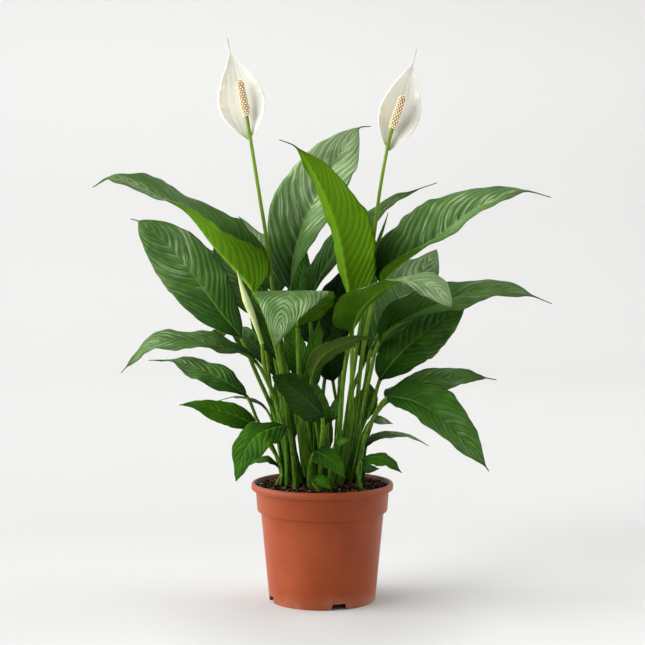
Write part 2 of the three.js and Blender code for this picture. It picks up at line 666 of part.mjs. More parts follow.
const budStalk = lineThrough([...rooted(bud.foot), ...bud.stalk]);
const budStalkRadius = (q) => mix(bud.footRadius, bud.topRadius, q);
place('bud_stalk', stem(budStalk, budStalkRadius, stemSides, 12), stalkGreen, leafGloss);

// The rolled spathe of the bud: a spindle whose free edge laps over it in a spiral.
const budLine = lineThrough([
  vec(bud.spindle[0]).addScaledVector(budStalk.along(budStalk.end), 1.5 * standingGap).toArray(),
  ...bud.spindle.slice(1),
]);
const budRadius = (q, turn) => {
  const lap = 0.94 + 0.12 * ((turn / (2 * Math.PI) + 0.3 * q) % 1);
  const swell = q < 0.6 ? mix(0.52, 1, smooth(0, 0.6, q)) : Math.max(0.06, (1 - q) / 0.4) ** 0.8;
  return bud.radius * swell * lap;
};
place('bud_spathe', stem(budLine, budRadius, 10, 14), youngGreen, petalGloss);

// ---------------------------------------------------------------- pot

const lipBase = potHeight - lipHeight;
const shoulder = lipBase - collarHeight;
const facets = 40;
const notchCount = 4;
const notchWidth = 20;
const notchTopWidth = 15.6;
const notchHeight = 7.2;
const firstNotch = 18;
const drainCount = 5;
const drainRadius = 4.5;
const drainCircle = 36;
const firstDrain = 15;

// A shape turned about +Z from its profile of radii and heights.
function turned(profile, segments) {
  const points = profile.map(([radius, height]) => new THREE.Vector2(radius, height));
  return new THREE.LatheGeometry(points, segments).rotateX(Math.PI / 2);
}

// The inner face from the floor up to the lip, drawn in by a clearance.
function innerWall(clearance) {
  const inset = wall + clearance;
  return [
    [mix(footRadius, bodyRadius, floorHeight / shoulder) - inset, floorHeight + floorThickness + clearance],
    [bodyRadius - inset, shoulder - 1],
    [bodyRadius - inset + 0.4, shoulder + 0.6 * wall + clearance],
    [shoulderRadius - inset - 0.8, shoulder + wall + clearance],
    [shoulderRadius - inset, shoulder + wall + 1 + clearance],
    [collarRadius - inset, lipBase - 0.5],
  ];
}

function pot() {
  const profile = [
    [0, floorHeight],
    [footRadius - wall, floorHeight],
    [footRadius - wall, 0],
    [footRadius - 0.5, 0],
    [footRadius, 0.8],
    [bodyRadius, shoulder - 1.5],
    [bodyRadius + 1, shoulder - 0.5],
    [shoulderRadius - 0.8, shoulder + 0.2],
    [shoulderRadius, shoulder + 1.6],
    [collarRadius, lipBase - 0.4],
    [lipRadius - 1.1, lipBase],
    [lipRadius, lipBase + 1.2],
    [lipRadius, potHeight - 1.4],
    [lipRadius - 1.1, potHeight - 0.2],
    [lipRadius - 2.4, potHeight],
    [lipRadius - 3.8, potHeight - 0.2],
    [lipRadius - 4.5, potHeight - 1],
    ...innerWall(0).reverse(),
    [0, floorHeight + floorThickness],
  ];
  let made = solid(turned(profile, facets));
  const [low, high] = [notchWidth / 2, notchTopWidth / 2];
  const notch = new THREE.Shape([[-low, -1], [low, -1], [low, 0], [high, notchHeight],
    [-high, notchHeight], [-low, 0]].map(([x, z]) => new THREE.Vector2(x, z)));
  for (let i = 0; i < notchCount; i++) {
    const cutter = new THREE.ExtrudeGeometry(notch, { depth: 30, bevelEnabled: false });
    cutter.rotateX(Math.PI / 2).translate(0, -footRadius + 15, 0);
    cutter.rotateZ(radians(firstNotch + 360 * i / notchCount));
    made = made.subtract(solid(cutter));
  }
  for (let i = 0; i < drainCount; i++) {
    const drain = new THREE.CylinderGeometry(drainRadius, drainRadius, 10, 8).rotateX(Math.PI / 2);
    drain.translate(drainCircle, 0, floorHeight);
    drain.rotateZ(radians(firstDrain + 360 * i / drainCount));
    made = made.subtract(solid(drain));
  }
  return made;
}

place('pot', pot(), terracotta, 0.55);

// ---------------------------------------------------------------- soil

// The lumps of peat on the soil's top.
function lump(x, y) {
  const ridges = 0.7 * Math.sin(x * 0.31 + 1.3 * Math.sin(y * 0.17));
  const furrows = 0.6 * Math.sin(y * 0.37 + 0.9 * Math.sin(x * 0.23));
  return ridges + furrows;
}

// A six-sided hole for a stem of the given half breadth.
function hole([x, y], half) {
  const radius = (half + holeGap) / Math.cos(Math.PI / 6);
  const height = rootDepth + 12;
  const prism = new THREE.CylinderGeometry(radius + holeFlare, radius, height, 6).rotateX(Math.PI / 2);
  prism.translate(x, y, soilHeight - rootDepth - standingGap + height / 2);
  return solid(prism);
}

function soil() {
  const side = innerWall(standingGap);
  const edge = side.at(-1)[0];
  const top = [1, 0.85, 0.65, 0.45, 0.22, 0]
    .map((share) => [edge * share, soilHeight - 0.8 + soilDome * (1 - share ** 2)]);
  const geometry = turned([[0, side[0][1]], ...side.slice(0, -1), ...top], 28);
  const position = geometry.attributes.position;
  for (let i = 0; i < position.count; i++) {
    const [x, y, z] = [position.getX(i), position.getY(i), position.getZ(i)];
    if (z > soilHeight - 0.5) position.setZ(i, z + lump(x, y));
  }
  let made = solid(geometry);
  for (const leaf of leaves) made = made.subtract(hole(leaf.foot, stalkSize(leaf, 0)[0]));
  for (const flower of flowers) made = made.subtract(hole(flower.foot, scapeFoot));
  return made.subtract(hole(bud.foot, bud.footRadius));
}

place('soil', soil(), peat, 0.95);

export default plant;
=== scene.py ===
import math
import random

import bmesh
import bpy
import numpy as np
from mathutils import Matrix, Vector, noise


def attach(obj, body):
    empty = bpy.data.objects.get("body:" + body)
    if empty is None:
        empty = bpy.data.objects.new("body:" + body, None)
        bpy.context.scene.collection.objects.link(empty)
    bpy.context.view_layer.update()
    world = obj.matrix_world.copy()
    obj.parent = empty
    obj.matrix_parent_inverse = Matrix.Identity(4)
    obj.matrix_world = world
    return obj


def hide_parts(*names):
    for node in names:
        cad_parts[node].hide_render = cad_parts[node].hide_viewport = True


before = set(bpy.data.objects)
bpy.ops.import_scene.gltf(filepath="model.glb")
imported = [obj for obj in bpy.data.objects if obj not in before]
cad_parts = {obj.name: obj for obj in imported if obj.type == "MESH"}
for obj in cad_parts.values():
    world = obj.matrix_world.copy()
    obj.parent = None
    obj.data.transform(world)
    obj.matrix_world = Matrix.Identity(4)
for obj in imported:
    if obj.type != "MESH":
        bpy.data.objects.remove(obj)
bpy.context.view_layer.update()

# ------------------------ studio
# A seamless pale sweep of paper, whose floor curves up into the wall far behind the plant. Broad
# soft light comes from the left, from before and behind the plant, and weaker light from the
# right. A lamp over the floor brightens the wall.


def add(tree, kind, *inputs, **named):
    """A shader node. Inputs go in by place or by name, as values or as other nodes' outputs."""
    node = tree.nodes.new(kind if kind.startswith("NodeGroup") else "ShaderNode" + kind)
    sockets = {socket.name.lower().replace(" ", "_"): socket for socket in reversed(node.inputs)}
    for key, value in named.items():
        if key not in sockets:
            setattr(node, key, value)
    fed = list(zip(node.inputs, inputs))
    fed += [(sockets[key], value) for key, value in named.items() if key in sockets]
    for socket, value in fed:
        if isinstance(value, bpy.types.Node):
            value = value.outputs[0]
        if isinstance(value, bpy.types.NodeSocket):
            tree.links.new(value, socket)
        elif socket.type == "RGBA":
            socket.default_value = (*value, 1)
        else:
            socket.default_value = value
    return node


def blend(tree, share, first, second):
    """The first colour where share is 0, and the second where it is 1."""
    node = add(tree, "Mix", data_type="RGBA")
    for socket, value in zip((node.inputs[0], node.inputs[6], node.inputs[7]), (share, first, second)):
        if isinstance(value, bpy.types.Node):
            value = value.outputs[0]
        if isinstance(value, bpy.types.NodeSocket):
            tree.links.new(value, socket)
        else:
            socket.default_value = value if socket.type == "VALUE" else (*value, 1)
    return node.outputs[2]


def calc(tree, operation, *inputs, clamp=False):
    return add(tree, "Math", *inputs, operation=operation, use_clamp=clamp)


def band(tree, value, low, high, start=0.0, end=1.0):
    """Runs smoothly from start to end as the value goes from low to high."""
    return add(tree, "MapRange", value, low, high, start, end, interpolation_type="SMOOTHSTEP")


def new_finish(name):
    """An empty material, its node tree, and the place of each point in the object's own metres."""
    material = bpy.data.materials.new(name)
    material.use_nodes = True
    tree = material.node_tree
    tree.nodes.clear()
    return material, tree, add(tree, "TexCoord").outputs["Object"]


def coat(tree, **sockets):
    shader = add(tree, "BsdfPrincipled", **sockets)
    add(tree, "OutputMaterial", surface=shader)


def mottled(tree, place, **sockets):
    return add(tree, "TexNoise", vector=place, **sockets)


def placed(name, data):
    thing = bpy.data.objects.new(name, data)
    bpy.context.scene.collection.objects.link(thing)
    return thing


paper, tree, place = new_finish("studio_paper")
grain = mottled(tree, place, scale=3.0, detail=2.0)
parts = add(tree, "SeparateXYZ", place).outputs
tone = blend(tree, grain, (0.494, 0.494, 0.489), (0.510, 0.510, 0.505))
# Painted light: the paper is painted lighter up the wall, and lighter again on the near floor, most of
# all on the right.
tone = blend(tree, band(tree, parts["Z"], 0.45, 1.25), tone, (0.557, 0.557, 0.552))
near_floor_painted_light = blend(tree, band(tree, parts["X"], -0.1, 0.35), (0.570, 0.570, 0.564), (0.605, 0.605, 0.598))
tone = blend(tree, band(tree, parts["Y"], 0.45, 0.0), tone, near_floor_painted_light)
# Painted shadow: the floor is painted darker round the foot of the pot.
from_pot = add(tree, "VectorMath", place, (0.0, -0.13, 0.0), operation="DISTANCE").outputs["Value"]
tone = blend(tree, band(tree, from_pot, 0.22, 0.05), tone, (0.480, 0.477, 0.466))
coat(tree, base_color=tone, roughness=0.85, specular_ior_level=0.2)

bm = bmesh.new()
bmesh.ops.create_grid(bm, x_segments=4, y_segments=96, size=1.0)
half_width, paper_length, front_edge, bend_start, bend_radius = 9, 11, -3, 3.0, 1.4
for vert in bm.verts:
    run = (vert.co.y + 1) / 2 * paper_length + front_edge
    turn = min(max((run - bend_start) / bend_radius, 0), math.pi / 2)
    left_over = max(run - bend_start - bend_radius * math.pi / 2, 0)
    vert.co = (vert.co.x * half_width, min(run, bend_start) + bend_radius * math.sin(turn),
               bend_radius * (1 - math.cos(turn)) + left_over)
for face in bm.faces:
    face.smooth = True
sweep = placed("studio_sweep", bpy.data.meshes.new("studio_sweep"))
bm.to_mesh(sweep.data)
bm.free()
sweep.data.materials.append(paper)

camera = placed("camera", bpy.data.cameras.new("camera"))
camera.location = (0.0002, -1.812, 0.4335)
tilt_down = 3.2
camera.rotation_euler = (math.radians(90 - tilt_down), 0, 0)
camera.data.lens = 85
camera.data.sensor_width = 36
camera.data.clip_end = 50
bpy.context.scene.camera = camera


def studio_light(name, kind, place, aim, energy, spread):
    """A soft light. spread is a lamp's width in metres, or the sun's in radians."""
    light = bpy.data.lights.new(name, kind)
    light.energy = energy
    if kind == "SUN":
        light.angle = spread
    else:
        light.shape = "DISK"
        light.size = spread
    lamp = placed(name, light)
    lamp.location = place
    lamp.rotation_euler = (Vector(aim) - Vector(place)).to_track_quat("-Z", "Y").to_euler()


studio_light("key_light", "SUN", (-2.6, -0.9, 1.2), (0, 0, 0.3), 5.7, math.radians(60))
studio_light("rear_light", "SUN", (-2.4, 1.4, 1.7), (0, 0, 0.3), 2.6, math.radians(60))
studio_light("right_light", "SUN", (2.6, 0.6, 1.3), (0, 0, 0.3), 2.7, math.radians(70))
studio_light("backdrop_light", "AREA", (-1.0, 1.9, 3.6), (-0.3, 4.4, 2.1), 46, 2.2)

room = bpy.data.worlds.new("pale_room")
room.use_nodes = True
room.node_tree.nodes["Background"].inputs["Strength"].default_value = 0.50
room.node_tree.nodes["Background"].inputs["Color"].default_value = (1, 1, 1, 1)
bpy.context.scene.world = room
bpy.context.scene.view_settings.view_transform = "Standard"

# ------------------------ pot
# A thin nursery pot, moulded in one piece from terracotta-coloured plastic: a rolled lip over a
# deeper collar, a tapering body, a foot ring with four drainage notches, and a raised floor.

MM = 0.001
POT_HEIGHT, LIP_HEIGHT, COLLAR_HEIGHT = 141, 8, 26
LIP_RADIUS, COLLAR_RADIUS, SHOULDER_RADIUS, BODY_RADIUS, FOOT_RADIUS = 85, 79.7, 78, 73.6, 63.8
WALL, FLOOR_HEIGHT, FLOOR_THICKNESS = 1.7, 8, 2.4
NOTCH_FOOT, NOTCH_TOP, NOTCH_DEPTH, NOTCH_HEIGHT, NOTCH_TURNS = 20, 15.6, 16, 7.2, (18, 108, 198, 288)
DRAIN_RADIUS, DRAIN_REACH, DRAIN_TURNS = 4.5, 36, (15, 87, 159, 231, 303)
POT_STEPS, SHARP_EDGE = 160, 38
LIP_BASE = POT_HEIGHT - LIP_HEIGHT
SHOULDER = LIP_BASE - COLLAR_HEIGHT


def inner_wall(clearance):
    """The inner face from the floor up to the lip, drawn in by a clearance."""
    inset = WALL + clearance
    low = FOOT_RADIUS + (BODY_RADIUS - FOOT_RADIUS) * FLOOR_HEIGHT / SHOULDER
    return [(low - inset, FLOOR_HEIGHT + FLOOR_THICKNESS + clearance),
            (BODY_RADIUS - inset, SHOULDER - 1),
            (BODY_RADIUS - inset + 0.4, SHOULDER + 0.6 * WALL + clearance),
            (SHOULDER_RADIUS - inset - 0.8, SHOULDER + WALL + clearance),
            (SHOULDER_RADIUS - inset, SHOULDER + WALL + 1 + clearance),
            (COLLAR_RADIUS - inset, LIP_BASE - 0.5)]


def turned(profile, steps):
    """A closed shape turned about the upright axis from its profile of radii and heights."""
    bm = bmesh.new()
    verts = [bm.verts.new((0, -radius * MM, height * MM)) for radius, height in profile]
    edges = [bm.edges.new(pair) for pair in zip(verts, verts[1:])]
    bmesh.ops.spin(bm, geom=verts + edges, axis=(0, 0, 1), angle=2 * math.pi, steps=steps,
                   use_merge=True)
    bmesh.ops.remove_doubles(bm, verts=bm.verts, dist=1e-6)
    bmesh.ops.recalc_face_normals(bm, faces=bm.faces)
    return bm


def piece(bm, node, slot, *finishes):
    """Puts the shape in the scene in place of its plain solid."""
    for face in bm.faces:
        face.smooth = True
    mesh = bpy.data.meshes.new(node + "_finished")
    bm.to_mesh(mesh)
    bm.free()
    for finish in finishes:
        mesh.materials.append(finish)
    made = placed(node + "_finished", mesh)
    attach(made, "root")
    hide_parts(node)
    return made


def times(tree, first, second, clamp=False):
    return calc(tree, "MULTIPLY", first, second, clamp=clamp)


def stretched(tree, place, stretch, **sockets):
    return mottled(tree, add(tree, "Mapping", place, scale=stretch), **sockets)


plastic, tree, place = new_finish("terracotta_plastic")
height = add(tree, "SeparateXYZ", place).outputs["Z"]
cloud = mottled(tree, place, scale=22.0, detail=3.0)
speck = mottled(tree, place, scale=1400.0, detail=2.0)
tool_marks = stretched(tree, place, (1, 1, 120), scale=3.0)
scuffs = stretched(tree, place, (60, 60, 900), scale=1.0, detail=4.0)
tone = blend(tree, band(tree, cloud, 0.3, 0.7), (0.210, 0.0345, 0.0058), (0.242, 0.0440, 0.0088))
tone = blend(tree, band(tree, scuffs, 0.66, 0.8, 0.0, 0.35), tone, (0.55, 0.22, 0.13))
dust = times(tree, band(tree, height, 0.02, 0.0), band(tree, cloud, 0.35, 0.7, 0.05, 0.3))
tone = blend(tree, dust, tone, (0.50, 0.30, 0.22))
relief = calc(tree, "ADD", times(tree, speck, 0.35), tool_marks)
coat(tree, base_color=tone, roughness=band(tree, cloud, 0.2, 0.8, 0.42, 0.52), specular_ior_level=0.22,
     sheen_weight=0.16, sheen_roughness=0.35, sheen_tint=(1.0, 0.86, 0.72),
     normal=add(tree, "Bump", height=relief, strength=0.25, distance=0.0002))

outer = [(FOOT_RADIUS - WALL, 0.4), (FOOT_RADIUS - WALL + 0.4, 0), (FOOT_RADIUS - 0.5, 0),
         (FOOT_RADIUS - 0.1, 0.3), (FOOT_RADIUS, 0.9)]
outer += [(FOOT_RADIUS + (BODY_RADIUS - FOOT_RADIUS) * s, 0.9 + (SHOULDER - 2.4) * s)
          for s in (0.25, 0.5, 0.75, 1)]
outer += [(BODY_RADIUS + 0.4, SHOULDER - 0.7), (BODY_RADIUS + 1.2, SHOULDER - 0.2),
          (SHOULDER_RADIUS - 1.2, SHOULDER + 0.1), (SHOULDER_RADIUS - 0.4, SHOULDER + 0.5),
          (SHOULDER_RADIUS, SHOULDER + 1.4), (COLLAR_RADIUS, LIP_BASE - 1.2),
          (COLLAR_RADIUS + 0.5, LIP_BASE - 0.4), (LIP_RADIUS - 1.2, LIP_BASE),
          (LIP_RADIUS - 0.4, LIP_BASE + 0.4), (LIP_RADIUS, LIP_BASE + 1.3),
          (LIP_RADIUS, POT_HEIGHT - 2), (LIP_RADIUS - 0.5, POT_HEIGHT - 0.8),
          (LIP_RADIUS - 1.4, POT_HEIGHT - 0.15), (LIP_RADIUS - 2.4, POT_HEIGHT),
          (LIP_RADIUS - 3.5, POT_HEIGHT - 0.2), (LIP_RADIUS - 4.3, POT_HEIGHT - 0.9)]
bm = turned([(0, FLOOR_HEIGHT), (FOOT_RADIUS - WALL, FLOOR_HEIGHT)] + outer
            + inner_wall(0)[::-1] + [(0, FLOOR_HEIGHT + FLOOR_THICKNESS)], POT_STEPS)
pot = piece(bm, "pot", "pot", plastic)

bm = bmesh.new()
for turn in NOTCH_TURNS:
    notch = bmesh.ops.create_cube(bm, size=1)["verts"]
    for vert in notch:
        low = vert.co.z < 0
        vert.co = (vert.co.x * (NOTCH_FOOT if low else NOTCH_TOP) * MM,
                   (vert.co.y * NOTCH_DEPTH - FOOT_RADIUS) * MM, (-1 if low else NOTCH_HEIGHT) * MM)
    bmesh.ops.rotate(bm, verts=notch, matrix=Matrix.Rotation(math.radians(turn), 3, "Z"))
for turn in DRAIN_TURNS:
    drain = bmesh.ops.create_cone(bm, cap_ends=True, segments=24, radius1=DRAIN_RADIUS * MM,
                                  radius2=DRAIN_RADIUS * MM, depth=10 * MM)["verts"]
    bmesh.ops.translate(bm, verts=drain, vec=(DRAIN_REACH * MM, 0, FLOOR_HEIGHT * MM))
    bmesh.ops.rotate(bm, verts=drain, matrix=Matrix.Rotation(math.radians(turn), 3, "Z"))
punch = placed("punch", bpy.data.meshes.new("punch"))
bm.to_mesh(punch.data)
bm.free()
cut = pot.modifiers.new("holes", "BOOLEAN")
cut.object = punch
cut.solver = "EXACT"
bpy.context.view_layer.update()
holed = bpy.data.meshes.new_from_object(pot.evaluated_get(bpy.context.evaluated_depsgraph_get()))
pot.modifiers.clear()
bpy.data.objects.remove(punch)
bm = bmesh.new()
bm.from_mesh(holed)
for edge in bm.edges:
    edge.smooth = edge.calc_face_angle(0) < math.radians(SHARP_EDGE)
bm.to_mesh(pot.data)
bm.free()

# ------------------------ soil
# Moist dark peat that fills the pot to just under its lip, domed and crumbly on top, with loose
# crumbs, pale grit and bits of root fibre lying on it.

SOIL_HEIGHT, SOIL_DOME, SOIL_REACH, SOIL_CLEARANCE, SOIL_RINGS, SOIL_STEPS = 137, 3, 77.7, 0.3, 44, 132
CRUMB_BATCHES, CRUMBS_IN_BATCH, FIBRES, GRIT_EVERY = 38, 50, 330, 25
CRUMB_SIZES, BIG_CRUMB, CRUMB_REACH = (0.6, 0.7, 0.9, 1.1, 1.4, 1.8, 2.4), 1.8, 75.5


def lump(x, y):
    ridges = 0.7 * math.sin(x * 0.31 + 1.3 * math.sin(y * 0.17))
    furrows = 0.6 * math.sin(y * 0.37 + 0.9 * math.sin(x * 0.23))
    rough = 1.6 * noise.noise((x * 0.16, y * 0.16, 0)) + 1.0 * noise.noise((x * 0.45, y * 0.45, 4))
    return ridges + furrows + rough


def soil_top(x, y):
    share = min(1, math.hypot(x, y) / SOIL_REACH)
    domed = SOIL_HEIGHT - 0.8 + SOIL_DOME * (1 - share * share)
    return domed + lump(x, y) * min(1, 4 * (1 - share) + 0.2)


def carried(tree, layer):
    """The three numbers that each point of the mesh carries in a layer."""
    vector = add(tree, "Attribute", attribute_name=layer).outputs["Vector"]
    return add(tree, "SeparateXYZ", vector).outputs


peat, tree, place = new_finish("peat")
fine = mottled(tree, place, scale=420.0, detail=5.0, roughness=0.7)
damp = mottled(tree, place, scale=60.0, detail=3.0)
look = carried(tree, "look")
tone = blend(tree, band(tree, fine, 0.35, 0.75), (0.0022, 0.0012, 0.0007), (0.015, 0.0075, 0.0036))
tone = blend(tree, look["X"], tone, (0.120, 0.062, 0.028))
tone = blend(tree, look["Y"], tone, (0.62, 0.58, 0.50))
coat(tree, base_color=tone, roughness=band(tree, damp, 0.3, 0.7, 0.75, 0.95), specular_ior_level=0.06,
     normal=add(tree, "Bump", height=fine, strength=0.9, distance=0.0012))

side = inner_wall(SOIL_CLEARANCE)
edge_radius = side[-1][0]
rings = [(edge_radius * share, SOIL_HEIGHT) for share in np.linspace(1, 0, SOIL_RINGS)]
bm = turned([(0, side[0][1])] + side[:-1] + [(edge_radius, SOIL_HEIGHT - 2)] + rings, SOIL_STEPS)
bm.verts.layers.float_vector.new("look")
for vert in bm.verts:
    if vert.co.z > (SOIL_HEIGHT - 0.5) * MM:
        vert.co.z = soil_top(vert.co.x / MM, vert.co.y / MM) * MM
draw = random.Random(11)


def scattered():
    radius, turn = CRUMB_REACH * math.sqrt(draw.random()), draw.uniform(0, 2 * math.pi)
    return radius * math.cos(turn), radius * math.sin(turn)


def empty_tray():
    tray = bmesh.new()
    return tray, tray.verts.layers.float_vector.new("look")


def tip_out(tray):
    heap = bpy.data.meshes.new("heap")
    tray.to_mesh(heap)
    tray.free()
    bm.from_mesh(heap)
    bpy.data.meshes.remove(heap)


# The crumbs are made on small trays, because a large mesh takes each new one slowly.
for batch in range(CRUMB_BATCHES):
    tray, look_layer = empty_tray()
    for k in range(CRUMBS_IN_BATCH):
        x, y = scattered()
        size = draw.choice(CRUMB_SIZES) * draw.uniform(0.8, 1.2)
        place = Matrix.Translation(Vector((x, y, soil_top(x, y) + 0.25 * size)) * MM)
        squash = Matrix.Diagonal((draw.uniform(0.7, 1.3), draw.uniform(0.7, 1.3),
                                  draw.uniform(0.5, 0.9), 1))
        twist = Matrix.Rotation(draw.uniform(0, 6.28), 4, Vector((draw.random(), draw.random(), 1)))
        crumb = bmesh.ops.create_icosphere(tray, subdivisions=2 if size > BIG_CRUMB else 1,
                                           radius=size * MM, matrix=place @ twist @ squash)["verts"]
        grit = k % GRIT_EVERY == 0 and size < BIG_CRUMB
        brown = draw.random() ** 3
        for vert in crumb:
            vert[look_layer] = (brown, 0.9 if grit else 0, 0)
            vert.co += Vector([draw.uniform(-1, 1) for axis in "xyz"]) * size * 0.16 * MM
    tip_out(tray)
tray, look_layer = empty_tray()
for k in range(FIBRES):
    x, y = scattered()
    long = draw.uniform(4, 13)
    lie = (Matrix.Rotation(draw.uniform(0, 6.28), 4, "Z")
           @ Matrix.Rotation(draw.uniform(1.35, 1.62), 4, "X"))
    place = Matrix.Translation(Vector((x, y, soil_top(x, y) + 0.9)) * MM)
    fibre = bmesh.ops.create_cone(tray, cap_ends=True, segments=5, radius1=0.28 * MM, radius2=0.12 * MM,
                                  depth=long * MM, matrix=place @ lie)["verts"]
    for vert in fibre:
        vert[look_layer] = (draw.uniform(0.5, 1), draw.random() ** 4 * 0.5, 0)
tip_out(tray)
piece(bm, "soil", "soil", peat)

# ------------------------ leaves
# Each leaf is one living piece. Its stalk stands in the peat, channelled and sheathed low down,
# and runs on as the midrib of a thin pointed blade with sunk side veins that sweep to the tip.

ROOT_DEPTH, BLADE_THICKNESS, WAVES = 12, 0.8, 3


def ramp(low, high, x):
    x = np.clip((x - low) / (high - low), 0, 1)
    return x * x * (3 - 2 * x)


def mix(a, b, t):
    return a + (b - a) * t


class Rib:
    """A smooth line through points, asked for places and directions by length along it."""

    STEPS = 30

    def __init__(self, points):
        points = [np.array(p, float) for p in points]
        ends = [2 * points[0] - points[1], *points, 2 * points[-1] - points[-2]]
        walk = [points[0]]
        for p0, p1, p2, p3 in zip(ends, ends[1:], ends[2:], ends[3:]):
            d0, d1, d2 = (np.dot(b - a, b - a) ** 0.25 for a, b in ((p0, p1), (p1, p2), (p2, p3)))
            t1 = ((p1 - p0) / d0 - (p2 - p0) / (d0 + d1) + (p2 - p1) / d1) * d1
            t2 = ((p2 - p1) / d1 - (p3 - p1) / (d1 + d2) + (p3 - p2) / d2) * d1
            for w in np.arange(1, self.STEPS + 1) / self.STEPS:
                walk.append(p1 + t1 * w + (3 * (p2 - p1) - 2 * t1 - t2) * w ** 2
                            + (2 * (p1 - p2) + t1 + t2) * w ** 3)
        self.walk = np.array(walk)
        steps = np.linalg.norm(np.diff(self.walk, axis=0), axis=1)
        self.lengths = np.concatenate([[0], np.cumsum(steps)])
        self.end = self.lengths[-1]

    def at(self, length):
        return np.stack([np.interp(length, self.lengths, self.walk[:, k]) for k in range(3)], -1)

    def along(self, length):
        ahead = self.at(length + 1) - self.at(length - 1)
        return ahead / np.linalg.norm(ahead, axis=-1, keepdims=True)


def wave(turns):
    return np.sin(2 * math.pi * turns)


def rib_radius(breadth):
    return 1.4 + breadth * 0.015


def spread(values, s):
    """Runs smoothly through three values: at the base, in the middle and at the tip."""
    base, middle, tip = values
    return np.where(s < 0.5, mix(base, middle, ramp(0, 0.5, s)), mix(middle, tip, ramp(0.5, 1, s)))


def rolled_frame(ahead, outward, degrees):
    """The directions across and up from a blade that runs ahead and is rolled about its rib."""
    side = np.array([outward[1], -outward[0], 0.0])
    side = side - ahead * (ahead @ side)[:, None]
    side /= np.linalg.norm(side, axis=1, keepdims=True)
    angle = np.radians(degrees)[:, None]
    side = side * np.cos(angle) + np.cross(ahead, side) * np.sin(angle)
    return side, np.cross(side, ahead)


def blade_sheet(rib, start, outward, shape, rim, quilt, s, u):
    """Points and normals of a blade's middle surface, at the lengths s and the breadths u."""
    length = start + s * (rib.end - start)
    side, up = rolled_frame(rib.along(length), outward, spread(shape["roll"], s))
    widest = shape["rounding"] / (shape["rounding"] + shape["taper"])
    filled = np.minimum(1, s / (1 - shape["drip"]))
    outline = (filled / widest) ** shape["rounding"] * ((1 - filled) / (1 - widest)) ** shape["taper"]
    down, across = s[:, None], np.abs(u)[None, :]
    chance = shape["seed"] * np.where(u > 0, 7, 4)[None, :]
    nibble = wave(7.1 * down + chance) + 0.7 * wave(12.7 * down + 3 * chance)
    half = np.maximum(shape["breadth"] / 2 * outline, mix(rim, 0.5, s ** 3))[:, None]
    half = half * (1 + 0.011 * nibble)
    fold = np.radians(spread(shape["fold"], s))[:, None]
    bend = math.radians(shape["curl"])
    run = half * (np.sin(fold + bend * across) - np.sin(fold)) / bend
    rise = half * (np.cos(fold) - np.cos(fold + bend * across)) / bend
    swell = shape["ruffle"] * wave(WAVES * down + np.where(u > 0, 0.27, 0)[None, :])
    crinkle = wave(6.3 * down + 2 * chance) + 0.7 * wave(10.9 * down + chance)
    lift = swell * across ** 2 + 0.022 * shape["breadth"] ** 0.8 * across ** 4 * crinkle
    lift *= ramp(0, 0.25, down) * (1 - ramp(0.8, 1, down))
    points = (rib.at(length)[:, None] + side[:, None] * (np.sign(u)[None, :] * run)[..., None]
              + up[:, None] * (rise + lift)[..., None])
    normals = np.cross(np.gradient(points, axis=1), np.gradient(points, axis=0))
    normals /= np.linalg.norm(normals, axis=2, keepdims=True)
    return points + normals * quilt[..., None], normals, half * across


def wound(points, form, look, face_slots=lambda round_it, row: 0):
    """A closed skin from a grid of points: its columns run round it, and its rows along it."""
    rows, columns = points.shape[0] - 1, points.shape[1] - 1
    bm = bmesh.new()
    bmesh.ops.create_grid(bm, x_segments=columns, y_segments=rows, size=0.5)
    for face in bm.faces:
        middle = face.calc_center_median()
        face.material_index = face_slots(middle.x + 0.5, (middle.y + 0.5) * rows)
    form_layer = bm.verts.layers.float_vector.new("form")
    look_layer = bm.verts.layers.float_vector.new("look")
    for vert in bm.verts:
        row, column = round((vert.co.y + 0.5) * rows), round((vert.co.x + 0.5) * columns)
        vert.co = points[row, column] * MM
        vert[form_layer] = form[row, column]
        vert[look_layer] = look
    bmesh.ops.remove_doubles(bm, verts=bm.verts, dist=2e-7)
    bmesh.ops.holes_fill(bm, edges=[e for e in bm.edges if e.is_boundary], sides=0)
    bmesh.ops.recalc_face_normals(bm, faces=bm.faces)
    return bm


def thick_sheet(sheet, normals, above, below):
    """The upper face from left to right, then the lower one back again."""
    top = sheet + normals * above[..., None]
    under = sheet - normals * below[..., None]
    return np.concatenate([top, under[:, -2::-1]], axis=1)


